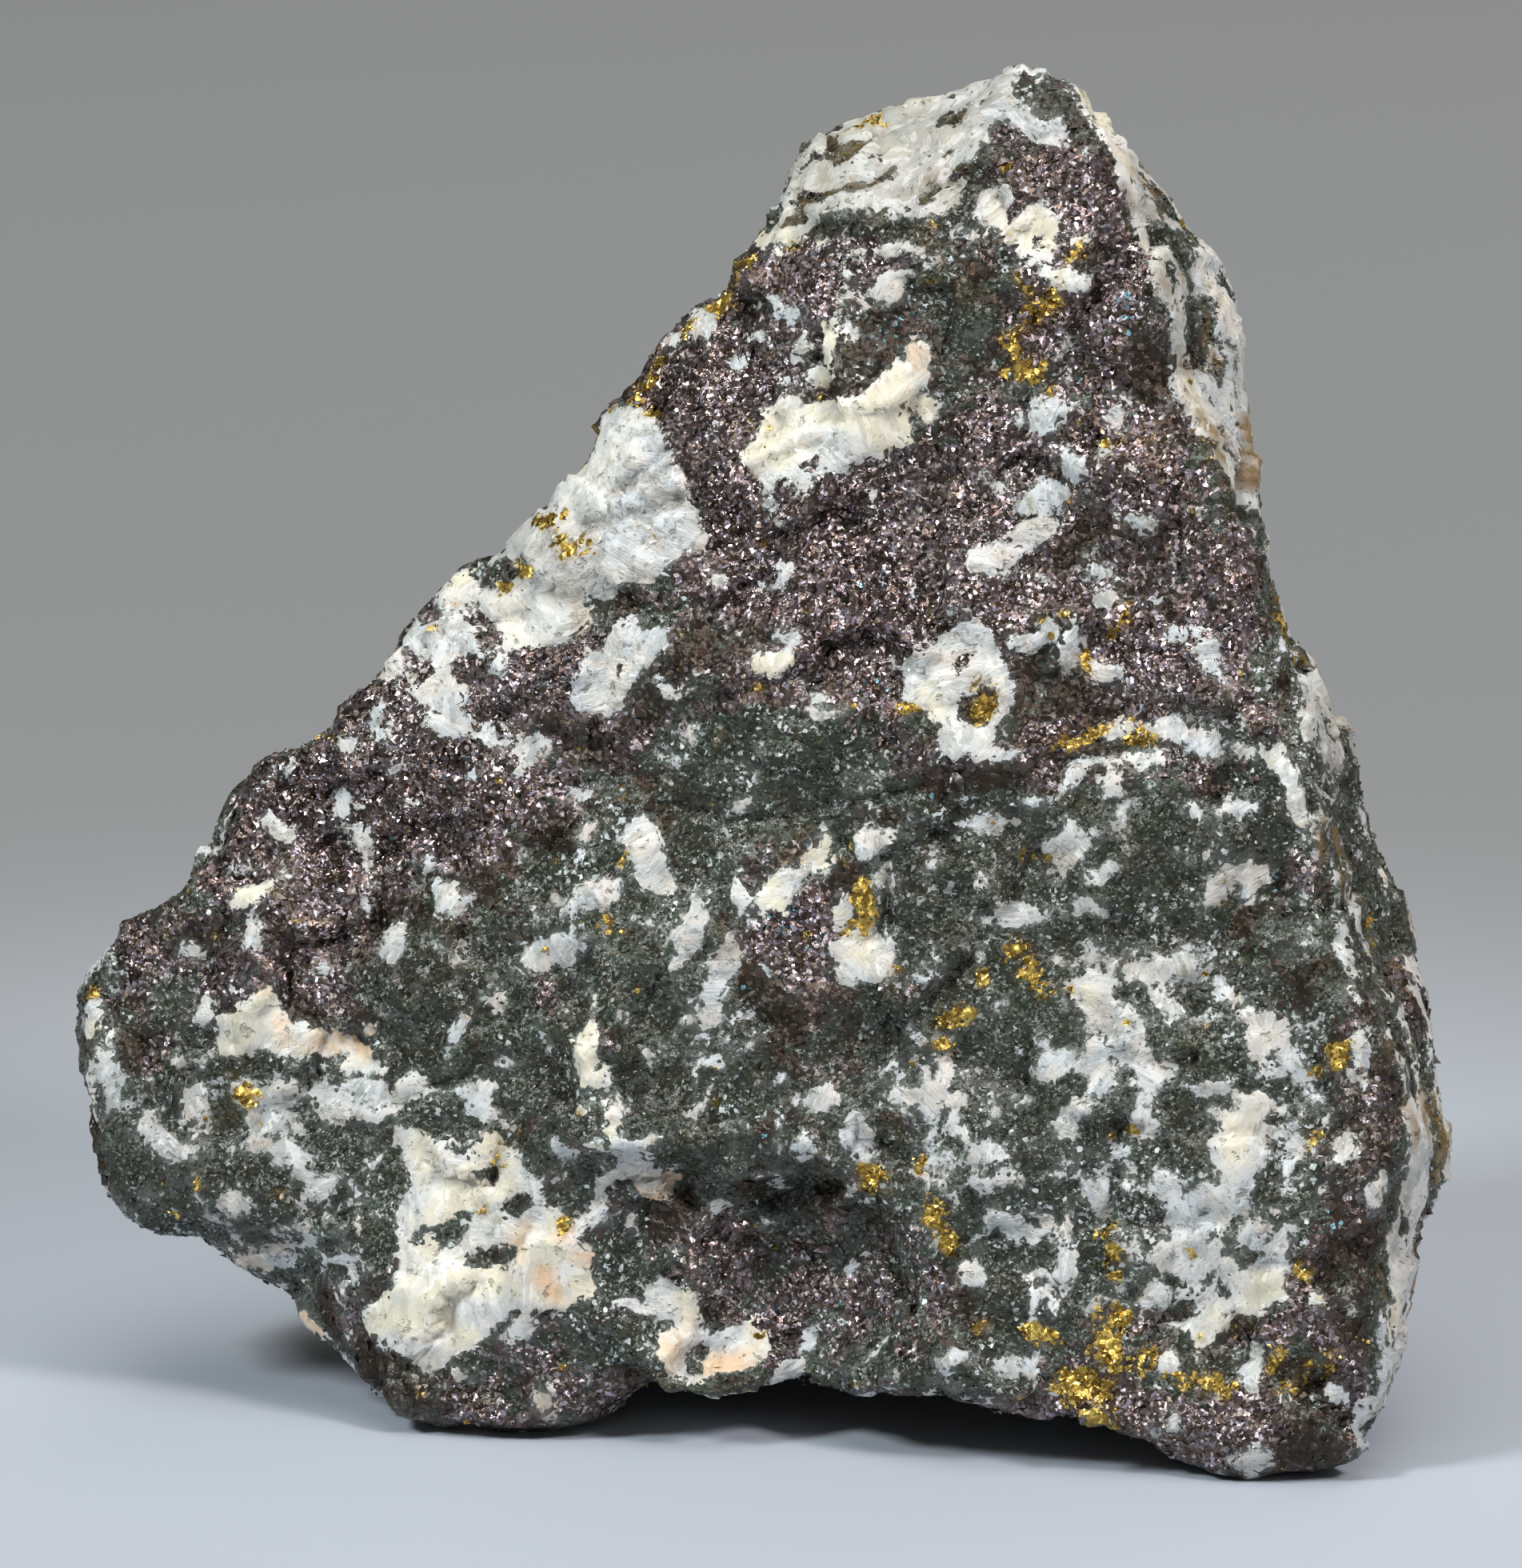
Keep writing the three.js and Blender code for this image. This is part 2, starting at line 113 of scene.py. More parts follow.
# Small pale spots: u, v, half width, half height and, for some, a turn in degrees
PALE_SPOTS = [
    # below the summit
    (18.5, 99.5, 1.3, 1.8), (21.7, 98, 2.4, 2.1), (23.6, 94.6, 2.8, 1.0, -10), (3.2, 88.9, 1.1, 1.4),
    (6.2, 89.3, 0.9, 1.5), (5, 87.2, 2.4, 0.9), (11, 93.5, 1.4, 1.2), (1.7, 92.2, 1.6, 0.7, -15),
    (-3.8, 91.5, 1.5, 1.2, 30), (-6.5, 89.8, 0.9, 0.8), (-1.5, 88.3, 0.8, 0.7), (9.5, 96.6, 3.6, 0.6, -5),
    (12.6, 88.2, 1.0, 1.4),
    # right of the middle
    (23, 84, 2.1, 1.2, 20), (28.5, 83.5, 1.6, 1.0, 30), (24.2, 80.2, 1.0, 1.6, 10),
    (22.3, 77.4, 2.0, 1.2, 20), (18.7, 72.6, 2.2, 1.6, 20), (21.6, 74.6, 1.9, 1.4, 20),
    (23.5, 67.5, 0.9, 0.8), (27, 69.5, 1.0, 0.9), (21.5, 66, 1.2, 1.0), (35.3, 65.5, 1.3, 1.1, 20),
    (25.3, 65.2, 1.0, 1.1, -40), (27.6, 63.4, 1.5, 0.9, -25), (31.4, 70.2, 0.6, 0.8), (9.9, 82.4, 0.8, 2.4),
    (30.2, 75.3, 0.8, 0.6),
    # the line of flecks where the face bends
    (28.5, 59.3, 1.0, 0.8), (32.7, 59.5, 1.5, 0.7), (35.5, 58, 1.7, 1.2, 20), (38, 57.8, 1.0, 0.8),
    (30.7, 57, 1.2, 0.7), (27.5, 56.5, 1.5, 0.6), (25, 55.3, 1.1, 0.7), (40.5, 57, 0.9, 0.8),
    (41.9, 54.3, 1.4, 2.6, 10), (37.3, 53, 1.0, 0.9), (18, 52, 1.9, 1.0), (28.3, 52, 0.6, 1.1),
    (24, 50, 1.5, 2.2, -20), (27.3, 48.4, 0.8, 1.6, -40), (26, 45.3, 1.0, 0.8), (20.5, 45, 1.8, 0.7),
    (35.8, 47.4, 0.9, 2.0, -35), (38.5, 47.5, 1.2, 1.8), (44.3, 50.5, 0.9, 2.0), (21, 54, 1.2, 0.5),
    # the lower right
    (26.6, 38.6, 1.6, 2.4, 20), (30.5, 40.5, 2.2, 1.2), (33.2, 41, 1.8, 0.9, 20), (28.4, 36.2, 1.4, 1.6),
    (37.5, 27, 2.2, 3.6), (40, 35.5, 1.7, 2.0), (33.5, 18.5, 2.4, 2.0, 20), (38.5, 15.5, 3.0, 1.6, 10),
    (40.5, 18, 1.2, 2.6), (35.5, 13.5, 1.2, 2.0), (39, 10, 1.4, 2.1), (32.5, 10.5, 1.1, 0.9),
    (45.3, 6.8, 0.9, 0.8), (38.7, 2, 1.4, 1.1), (32.5, 5.3, 1.0, 0.8), (24.6, 29.2, 0.9, 1.6),
    (18.6, 29.3, 0.9, 1.7), (14.5, 31.8, 0.9, 1.3), (18.4, 26.1, 1.4, 0.9), (20.4, 20.6, 0.9, 1.0),
    (23.2, 33.6, 1.7, 1.3), (30.2, 28.2, 1.5, 1.5), (46.8, 34, 0.8, 2.0), (48.2, 23.5, 0.9, 1.4),
    (24.5, 17, 1.2, 1.4), (30.6, 15, 1.3, 1.2), (15.3, 10.2, 1.7, 0.9), (20.6, 9.4, 1.6, 0.8),
    (16.5, 16.4, 0.9, 1.2), (43.6, 14.4, 0.8, 0.9),
    # the middle
    (-8.6, 49.7, 1.6, 3.0, 15), (-8.0, 47.6, 1.5, 1.4), (-13, 46.1, 2.6, 1.3, 15),
    (-16.1, 42.2, 2.5, 1.5, 15), (-5.4, 43.6, 1.0, 3.4, -20), (-3.1, 40.3, 1.0, 3.6, -25),
    (-1.3, 46.6, 0.7, 1.9), (8.8, 50.2, 1.4, 1.1), (10.3, 47.7, 0.9, 1.4), (6.2, 45.3, 0.9, 1.4),
    (8.8, 41.4, 2.5, 2.1, 15), (-3.2, 37, 0.9, 0.8), (-8, 33.9, 0.9, 0.8), (4.6, 30.3, 1.3, 1.0),
    (2, 32.1, 0.8, 0.8), (3.6, 26.9, 1.1, 1.3), (1.4, 24.2, 0.9, 0.8), (7.7, 27.9, 1.4, 2.0, 15),
    (-5.8, 59.5, 1.4, 0.6, 20), (1.2, 64.4, 1.7, 1.1, 30), (2.4, 66.1, 1.1, 0.9), (5.8, 60.6, 1.1, 0.6),
    (-12.7, 51.9, 0.8, 1.2), (-1.4, 52.8, 1.3, 0.6, 30),
    # the left
    (-34.5, 40.6, 1.9, 1.0, 10), (-43.3, 37.3, 0.9, 1.2), (-43.7, 33.6, 0.7, 0.6),
    (-39.3, 46.5, 1.8, 0.8, 25), (-39.2, 43.2, 0.7, 1.0), (-28.2, 42.8, 0.8, 1.2), (-40.3, 49, 1.1, 0.7),
    (-37.3, 51.5, 1.2, 1.0), (-37.3, 56.7, 0.6, 1.1), (-32.4, 58.2, 0.9, 0.8), (-32.3, 53.5, 0.7, 1.6, 15),
    (-30.6, 50.2, 0.8, 2.0, 30), (-28, 53.4, 0.7, 0.6), (-25.5, 49, 1.0, 0.9), (-52.4, 32, 0.9, 1.3),
    (-50.3, 32, 0.9, 1.9), (-52.3, 29.2, 0.9, 1.1), (-52.3, 36.3, 0.7, 0.9), (-43.5, 30, 1.3, 1.6),
    (-40, 31, 1.6, 1.2), (-38, 28.6, 1.7, 1.3), (-46, 26.5, 1.2, 1.0), (-35, 13, 1.4, 1.5),
    (-38.5, 17.8, 2.2, 1.0, -15), (-23.8, 46.2, 1.1, 1.6, 15), (-23.4, 36, 0.7, 1.1),
    (-17.4, 58.7, 1.2, 0.8), (-36.4, 26, 1.5, 1.3), (-30.5, 31.5, 1.5, 1.4), (-34, 23.5, 1.3, 1.1),
    (-41, 22.4, 1.4, 1.0),
    # under the flank
    (-9, 66, 2.6, 2.1), (-11.5, 63, 2.4, 2.3), (-25, 62, 2.3, 1.4, 30), (-24, 59.5, 2.1, 1.2),
    (-20.5, 59.3, 1.1, 0.9), (-28.4, 65, 1.7, 1.2, 40), (-7.2, 62.6, 1.5, 0.8),
    # the hollow and the foot of the left side
    (-8.2, 24.2, 2.6, 1.4, -15), (-16.7, 7, 0.8, 1.6, 15), (3.2, 9.2, 1.6, 1.4),
    (-10.2, 26.6, 1.8, 1.1, 10), (4.2, 11.6, 0.5, 1.3), (-18.6, 12.6, 1.6, 0.8),
]

# Pale veins: half width, then the points (u, v) that it follows
PALE_VEINS = [
    (1.2, [(0.5, 45.4), (3, 48), (5, 50.5)]),
    (1.0, [(-13.3, 38.8), (-13.8, 36.3), (-12.6, 32), (-11.4, 28.6), (-10.2, 26.4)]),
    (0.9, [(-9.6, 26), (-12, 23.4), (-13.2, 20.5), (-14, 17.5)]),
    (0.8, [(-11.5, 29), (-14, 26.5), (-16.4, 24), (-17.6, 21), (-17, 18.5)]),
    (1.1, [(29.5, 35), (31, 31), (35, 32), (38, 31), (40, 29.5)]),
    (1.0, [(32, 24), (34, 20), (36.5, 22.5), (37.6, 25)]),
    (0.8, [(42, 22), (44, 24), (46, 26.5)]),
    (0.8, [(28.5, 40), (29.5, 35.5), (27, 32.5), (24.5, 29.5)]),
    (0.7, [(34, 41), (38, 37.5), (42, 33), (44.5, 29.5)]),
    (0.8, [(-19.5, 28), (-22, 31), (-26, 31.5), (-30, 29), (-34, 30.5), (-40, 31)]),
    (0.7, [(-40, 30), (-38, 26), (-35, 24), (-33, 21), (-36, 18.5)]),
    (0.5, [(22.5, 40.5), (26, 42), (30, 41.5)]),
    (0.6, [(-0.6, 35), (-2.6, 31.5), (-5.4, 29.6)]),
    (0.6, [(46.4, 47.5), (45, 42.5), (46.8, 38)]),
]

# Dark spots that break into the pale patches, in the same form
DARK_SPOTS = [
    (5, 105.8, 1.4, 0.5, 35), (4.4, 103.6, 1.1, 0.3, 20), (15, 107, 1.4, 0.35, 25),
    (12.2, 100.4, 1.3, 0.4, 10), (1.4, 100.2, 1.6, 0.35, 40), (8.4, 101.6, 0.9, 0.3, 20),
    (22.2, 97.3, 0.45, 0.45), (-20.5, 71.8, 2.2, 0.8, 20), (-25.2, 68.4, 1.3, 0.8, 30),
    (-24.4, 20.4, 1.6, 0.6, 15), (-22.6, 26.6, 0.8, 0.5, -40), (-20.6, 18.2, 1.3, 0.9, 20),
    (-18.9, 22.3, 1.2, 0.8, 20), (-21, 24.9, 0.9, 0.6), (-4.5, 10.6, 0.9, 0.8), (17.4, 61.3, 1.4, 1.6),
    (16.2, 64.6, 0.9, 0.6), (38.2, 31.4, 1.0, 0.7), (-11.3, 69.0, 1.9, 1.2, 20), (-7.2, 69.2, 2.3, 1.8, 10),
    (-21.4, 67.3, 0.8, 2.2, 30), (-15.5, 65.6, 2.2, 0.9), (-12.4, 13.9, 1.8, 0.9, -25),
    (-12.0, 19.2, 0.7, 1.5, 25), (-16.6, 13.4, 0.9, 0.6, 20),
]

# Narrow clefts cut into the surface and darkened with painted shade: half width, then the points (u, v) that
# each follows
CLEFTS = [
    (0.35, [(-13.4, 74.9), (-10.6, 75.7), (-8.2, 76.2), (-6.0, 77.5)]),
    (0.25, [(-11.0, 77.6), (-8.8, 79.6), (-6.9, 81.3)]),
    (0.20, [(-6.2, 53.5), (-2.6, 52.3), (1.2, 52.4), (5, 53.2), (9, 54), (13.4, 55)]),
    (0.20, [(-0.4, 79.4), (2.2, 81), (4.6, 81.9)]),
    (0.20, [(-24.6, 66.8), (-21.5, 68.3), (-18.6, 68.5)]),
]

# ---- Chalcopyrite on the broad face --------------------------------------------------------------------
BRASS_SPOTS = [
    (22.6, 91.8, 1.6, 1.0), (24.2, 95.4, 1.0, 0.6, 30), (20.2, 89.4, 0.9, 1.4, 15),
    (21.4, 87.4, 0.9, 1.7, 25), (22.4, 85.6, 1.3, 0.7, 10), (19.4, 87, 0.7, 0.5), (25, 83, 0.8, 0.5, 30),
    (27.5, 82, 0.6, 0.5), (21, 93.6, 0.8, 0.6), (17.4, 61.2, 1.3, 1.5), (12.3, 61.2, 0.9, 0.8),
    (26, 59.2, 1.8, 0.5, 15), (-16, 75.7, 0.9, 0.7), (-13.7, 73.8, 1.3, 1.0), (-18.3, 72, 0.8, 0.6),
    (-20.4, 70.3, 0.6, 0.5), (-2.2, 93, 1.5, 1.5), (-0.6, 94.6, 0.9, 0.6, 30), (-8.9, 86.2, 1.3, 0.7, 10),
    (-9.6, 84.1, 1.9, 0.5, 5), (-7.6, 88.2, 0.6, 0.7), (-4.8, 90.8, 0.6, 0.5), (-34, 59.3, 1.0, 0.6, 20),
    (-40.2, 30.9, 0.9, 0.7), (8.2, 45.4, 0.8, 1.5, -15), (7.2, 42.8, 0.5, 0.7), (11.3, 40.9, 0.5, 0.4),
    (20.4, 42.3, 1.2, 1.2), (21.8, 40.2, 1.8, 1.1, -25), (18, 39.5, 0.7, 0.8), (15.6, 37.3, 1.2, 0.6, 20),
    (14, 34.7, 0.8, 0.5), (45.5, 34, 1.2, 1.0, 30), (44.2, 32.8, 0.6, 0.5), (28.8, 28, 1.0, 0.5),
    (43.2, 27.6, 0.6, 0.8), (8.7, 24.4, 1.0, 1.2), (12.5, 25.4, 0.6, 0.6), (14.2, 21.4, 0.8, 1.3, 20),
    (14.8, 19.4, 0.6, 1.0), (27.6, 20, 1.0, 0.8), (28.2, 18.2, 0.9, 1.1), (28, 14, 1.1, 1.6),
    (27.4, 11, 1.6, 1.6), (25.6, 8.2, 2.2, 1.9), (26.4, 5.4, 1.4, 1.0), (30.2, 11, 1.6, 0.6, 25),
    (35, 8.4, 2.6, 0.8, -10), (37.8, 12.7, 1.3, 0.5), (41, 10.8, 0.6, 1.2), (42, 8.2, 0.8, 0.6, -40),
    (43.4, 9.2, 0.9, 0.6), (44.4, 10.2, 0.9, 0.5, 30), (43, 17, 0.7, 0.6), (44, 14.7, 0.6, 0.5),
    (17.5, 13, 0.8, 0.5), (22, 12, 1.2, 0.5, -30), (34, 19.4, 0.4, 0.4), (-15, 20.7, 0.7, 0.6),
    (-15, 9.6, 0.35, 0.45), (8.8, 106.4, 0.9, 0.5, 25), (12, 108.6, 1.2, 0.3, 15), (3.1, 96.9, 0.5, 0.3),
    (23.2, 11.6, 0.9, 0.5), (-53.2, 38.4, 0.5, 0.4), (35.6, 81.4, 0.5, 0.9, 15), (46.6, 12.2, 0.7, 0.6),
    (30.4, 58.4, 0.7, 0.4),
]

# ---- Broad zones on the face: u, v, half width, half height, strength ----------------------------------
# A zone fades out between these shares of its half width and half height
ZONE_FADE = (0.6, 1.4)
BORNITE_ZONES = [
    (12, 78, 24, 15, 1.0), (14, 68, 18, 8, 1.0), (-3, 88, 9, 7, 0.9), (-30, 55, 16, 10, 0.8),
    (30, 72, 11, 12, 0.9), (-20, 61, 12, 6, 0.7), (2.8, 41, 4.5, 6, 1.0), (3, 34, 5, 6, 0.5),
    (4, 17, 12, 8, 0.25), (-20, 8, 12, 4, 0.6), (33, 4, 16, 4, 0.7), (26, 96, 6, 9, 0.9),
    (6, 95, 9, 2.5, 0.8), (-37, 42, 13, 6, 0.75), (45, 12, 4, 12, 0.5), (-14, 56, 12, 4, 0.5),
    (18, 57, 12, 3, 0.5), (47, 30, 3, 12, 0.4),
]
SILICATE_ZONES = [
    (0, 56, 9, 4.5, 1.0), (22, 46, 15, 8, 0.9), (14, 92, 4, 5, 0.9), (10, 84, 12, 5, 0.4),
    (26, 28, 16, 14, 0.8), (-24, 36, 9, 8, 0.7), (-38, 24, 12, 8, 0.7), (-10, 44, 9, 8, 0.6),
    (-6, 30, 8, 6, 0.9), (-8, 76, 3, 6, 0.4), (36, 78, 3, 4, 0.9), (20, 84, 5, 4, 0.5),
    (-10, 12, 6, 6, 0.6), (13.5, 85, 3.5, 7, 0.9),
]
NETWORK_ZONES = [
    (34, 28, 14, 16, 1.0), (22, 26, 10, 14, 0.95), (-37, 24, 11, 9, 0.87), (-3, 30, 8, 7, 0.6),
    (34, 44, 12, 6, 0.6), (16, 12, 8, 7, 0.75), (13, 31, 5, 7, 0.8), (-2, 46, 8, 8, 0.4),
    (-24, 32, 8, 6, 0.4), (-8, 88, 5, 5, 0.2), (20, 98, 6, 4, 0.3),
]
# The zone at (2, 17), in the hollow under the overhang, also makes its bornite brighter: painted light there
GLITTER_ZONES = [
    (6, 74, 12, 8, 1.0), (20, 80, 8, 6, 0.6), (-30, 56, 14, 8, 0.9), (-20, 64, 10, 5, 0.6),
    (12, 68, 12, 6, 0.7), (-3, 87, 6, 5, 0.8), (32, 66, 6, 5, 0.5), (8, 57, 8, 3, 0.6), (26, 94, 6, 8, 0.4),
    (2.8, 43, 3, 3, 0.7), (-18, 8, 6, 3, 0.4), (33, 5, 10, 3, 0.5), (10, 14, 4, 5, 0.5),
    (32, 76, 6, 8, 0.4), (2, 17, 10, 7, 0.35), (4, 94.5, 9, 3, 0.7), (20, 103, 5, 4, 0.7),
    (3, 92, 4, 3, 0.5), (-42, 43, 8, 5, 0.5),
]
CREAM_ZONES = [
    (6, 82, 9, 6, 0.9), (8, 106, 12, 4, 0.5), (5, 98, 9, 3, 0.8), (-24, 18, 7, 12, 0.75),
    (-16, 17, 6, 4, 0.9), (-38, 36, 8, 4, 1.0), (-13, 33, 3, 8, 0.8), (3, 48, 4, 4, 0.9),
    (-9, 49, 3, 4, 0.6), (9, 42, 4, 3, 0.5), (22, 97, 5, 4, 0.7), (15, 60, 6, 4, 0.4), (38, 14, 7, 6, 0.5),
    (37, 27, 3, 4, 0.5), (42, 54, 3, 4, 0.8), (-5, 11, 9, 5, 0.8), (27, 38, 3, 3, 0.5), (5, 89, 3, 3, 0.9),
    (1, 64, 3, 2, 1.0), (-35, 13, 3, 3, 0.8), (-52, 32, 3, 6, 0.5), (-39, 46, 3, 2, 0.9),
    (35, 57, 6, 3, 0.4), (-18, 70, 8, 5, 0.45), (-14, 79, 4, 6, 0.5),
]
PEACH_ZONES = [
    (-14.5, 17, 2.4, 3.6, 1.1), (-16.7, 7, 1.4, 2.6, 1.0), (18.5, 99.5, 1.8, 2.4, 0.5),
    (-37.5, 37.5, 2.0, 2.0, 0.7), (-7.5, 23.6, 3.0, 1.8, 0.9), (12.8, 88.4, 1.4, 1.6, 0.6),
    (-1.5, 9.4, 3.0, 1.2, 0.6), (14, 101, 2, 2, 0.3), (-8, 12, 2.5, 2.5, 0.4), (-33, 35.6, 4.5, 1.6, 0.8),
    (-38.5, 17.8, 3.0, 1.6, 0.6), (-35, 13, 1.8, 2.2, 0.8), (-17.5, 18.5, 3.0, 2.6, 0.75),
    (-12.5, 68, 2.5, 2.0, 0.3), (-31.5, 62, 3.0, 2.0, 0.3),
]

# The bevel whose pale rock is streaked along the slope, the angle of the streaks in degrees, and how much
# finer they are along than across
STREAKED_ZONES = [(9, 104, 12, 8, 1.0)]
STREAK_TURN = 28
STREAK_STRETCH = 0.24
# Pale flecks and haze strewn in the hollow under the overhang: painted light that lightens the shaded hollow
HOLLOW_PAINTED_LIGHT_ZONES = [(3, 16, 11, 7, 1.0)]
# Near the bottom edge it makes the rock darker towards the floor.
# On the summit bevel facing the lamps and in the hollow under the overhang, the darkening is painted shade.
# Zones painted darker, as u, v, half width, half height, strength. Most are dark stain of the rock.
SHADE_AND_STAIN_ZONES = [
    (-27, 39.2, 7, 3.4, 1.0), (-20, 7.5, 12, 4, 0.7), (33, 74, 7, 9, 0.1), (9, 104, 13, 8, 0.95),
    (-41, 27, 10, 8, 0.85), (22, 46, 15, 7, 0.65), (-14, 74, 9, 7, 0.35), (14, 84, 3, 8, 0.4),
    (13, 8, 6, 3, 0.2), (35, 3.5, 12, 3, 0.6), (-2, 17, 6, 4, 0.1), (30, 92, 3, 8, 0.5),
    (-48, 42, 4, 5, 0.5), (2, 57, 8, 3, 0.3),
]

# The white network: the size of its meshes and gaps in mm, and how thick its walls are as a share of them
NET_MESH = 4.8
NET_GAP = 3.1
NET_WALL = 0.17
# The greatest depth that counts in pale rock, how far from its middle a spot is looked for, and the depth
# that stands for outside, in mm
DEEPEST_PALE = 1.9
SPOT_REACH = 12
FAR_OUTSIDE = -99.0

# How far the skin has to turn to the front, and to the right, to count as the broad face or the right side
FACE_TURN = (0.02, 0.25)
SIDE_TURN = (0.15, 0.45)
# The sharp edge between the broad face and the right side: (v, u)
RIDGE = [
    (3, 45), (8, 47.6), (17, 48.4), (22, 49.6), (27, 50.6), (33, 49.6), (40, 47.2), (49.7, 43.5),
    (56.4, 43.1), (62.6, 42), (67.8, 40.2), (74.3, 38.2), (80, 35.4), (86, 32), (91, 32), (97, 29.6),
    (105, 26.4), (112, 24),
]
# How pale the side is next to that edge: (v, level)
SIDE_LEVELS = [
    (0, 0.4), (22, 0.6), (29, 0.4), (33, -0.6), (38, -0.8), (56, -0.7), (58.5, 0.5), (64, 0.5), (67, -0.4),
    (72, -0.2), (77, 0.2), (80, 0.7), (86, 0.9),
]
# How far past the edge the paler part of the side begins: (v, mm)
SIDE_RIM = [(24, 1.6), (30, 2.2), (38, 3.2), (46, 5.0), (52, 6.5), (66, 6.5), (72, 2.6), (80, 2.6)]

# ---- Grains that stand out of the surface, in mm. long and flat are shares of a grain's width ----------
SEED = 20
GRAINS_PER_MM2 = 3.0
GRAIN_LIMIT = 24000
LOWEST_GRAIN = 1.2
LATH_SHARE = 0.14
LATH_DEPTH = 0.9
SILICATE_SHARE = 0.85
# The share of places in dull bornite that get a grain, and how many more do where it glitters
BORNITE_SHARE = 0.45
GLITTER_SHARE = 0.7
# How far a mineral's grains stray over its border: chalcopyrite, pale rock and bornite
STRAYS = (0.25, 0.22, 0.12)
# The greater it is, the more the small grains outnumber the large ones
SMALLNESS = 2.4
EDGE_SHRINK = 0.65
FIBRE_BUNDLE = 3.8
BORNITE_GRAIN = {"width": (0.30, 1.45), "long": 1.2, "flat": 0.42, "sunk": 0.05, "lean": 0.28}
SILICATE_GRAIN = {"width": (0.38, 1.00), "long": 1.1, "flat": 0.60, "sunk": 0.06, "lean": 0.25}
BRASS_GRAIN = {"width": (0.30, 0.80), "long": 1.2, "flat": 0.70, "sunk": 0.00, "lean": 0.40}
PALE_LATH = {"width": (0.40, 0.85), "long": 2.9, "flat": 0.30, "sunk": 0.11, "lean": 0.06}
BORNITE_LOOK = {"metallic": 0.95, "rough": 0.50, "haze": 0.20}
SILICATE_LOOK = {"metallic": 0.00, "rough": 0.35, "haze": 0.15}
BRASS_LOOK = {"metallic": 1.00, "rough": 0.25, "haze": 0.00}

# A grain is a jittered octahedron: a ring of four corners, a top and a foot. MAP_HALF is half the width of
# its map, as a share of the square that it gets
OCTAHEDRON = np.array([(1, 0, 0), (0, 1, 0), (-1, 0, 0), (0, -1, 0), (0, 0, 1), (0, 0, -1)], float)
MAP_HALF = 0.46
GRAIN_FACES = np.array([(k, (k + 1) % 4, 4) for k in range(4)] + [((k + 1) % 4, k, 5) for k in range(4)])

# ---- Fine texture of the materials: sizes in mm, then shares, then roughness ---------------------------
CRYSTAL_SIZE = 0.36
GRAIN_CRYSTAL_SIZE = 0.26
CLUSTER_SIZE = 1.7
WARP_SIZE = 1 / 1.9
HOLE_SIZE = 0.9
CRACK_SPACING = 3.6
STREAK_SIZE = 0.50
PLATE_SIZE = 0.60
FIBRE_CLUMP = 5.0
FIBRE_STRETCH = 0.15
PLATE_SHORTENING = 1.6
HAZE_SHARE = 0.38
SILICATE_ROUGH = 0.25
PALE_ROUGH = 0.42
LATH_ROUGH = 0.32
DULL_ROUGH = 0.45
BRIGHT_ROUGH = 0.2
FLOOR_ROUGH = 0.75

# ---- Colours (linear) ----------------------------------------------------------------------------------
PALE_WHITE = (0.60, 0.645, 0.665, 1)
PALE_WARM = (0.70, 0.655, 0.60, 1)
# A painted highlight for some pale plates
PALE_PAINTED_HIGHLIGHT = (0.86, 0.87, 0.86, 1)
PALE_CLEAR = (0.40, 0.45, 0.45, 1)
PALE_CREAM = (0.83, 0.81, 0.73, 1)
PALE_YELLOW = (0.84, 0.77, 0.55, 1)
PALE_PEACH = (0.80, 0.54, 0.32, 1)
PALE_SHADE = (0.39, 0.39, 0.34, 1)
# Pale rock in the darkened zones: stain, and painted shade on the summit bevel and in the hollow
PALE_SHADE_AND_STAIN = (0.30, 0.295, 0.26, 1)
PALE_SPECK = (0.16, 0.155, 0.12, 1)
CRACK = (0.24, 0.19, 0.12, 1)
HAZE = (0.25, 0.275, 0.26, 1)
BORNITE_DULL = (0.072, 0.054, 0.042, 1)
BORNITE_DARK = (0.085, 0.060, 0.046, 1)
BORNITE_BROWN = (0.28, 0.205, 0.19, 1)
BORNITE_ROSE = (0.68, 0.595, 0.67, 1)
SILICATE_DARK = (0.018, 0.022, 0.012, 1)
SILICATE_GREEN = (0.053, 0.070, 0.048, 1)
SILICATE_GREY = (0.17, 0.20, 0.17, 1)
SILICATE_BROWN = (0.056, 0.043, 0.028, 1)
SPECK_WHITE = (0.64, 0.70, 0.71, 1)
BRASS_DARK = (0.42, 0.265, 0.055, 1)
BRASS_BRIGHT = (0.95, 0.70, 0.19, 1)
TARNISH_BLUE = (0.14, 0.32, 0.40, 1)
RUST = (0.21, 0.125, 0.035, 1)
# Near black: painted shade in hollows, holes and clefts, and dark stain
SHADE_AND_STAIN_BLACK = (0.018, 0.016, 0.009, 1)

# ---- Random numbers, mixed as splitmix64 does, and how much weaker each finer layer of noise is --------
SEED_STEP = 7919
SEED_START = 17
HASH_SEED = 0xD6E8FEB86659FD93
HASH_AXES = (0x9E3779B97F4A7C15, 0xC2B2AE3D27D4EB4F, 0x165667B19E3779F9)
HASH_ROUNDS = ((30, 0xBF58476D1CE4E5B9), (27, 0x94D049BB133111EB))
HASH_LAST_SHIFT = 31
HASH_BITS = 21
FINER_WEIGHT = 0.55

# ---- The picture: camera, lights and floor, in m -------------------------------------------------------
FRAME_HEIGHT = 0.1225
CAMERA_DISTANCE = 2.4
AIM_DEPTH = 0.01
CLIP = (0.05, 20)
# In mm: the place on the broad face (u, v) in the middle of the picture, and the camera's sensor
FRAME_CENTRE = (0.0, 55.1)
SENSOR = 36
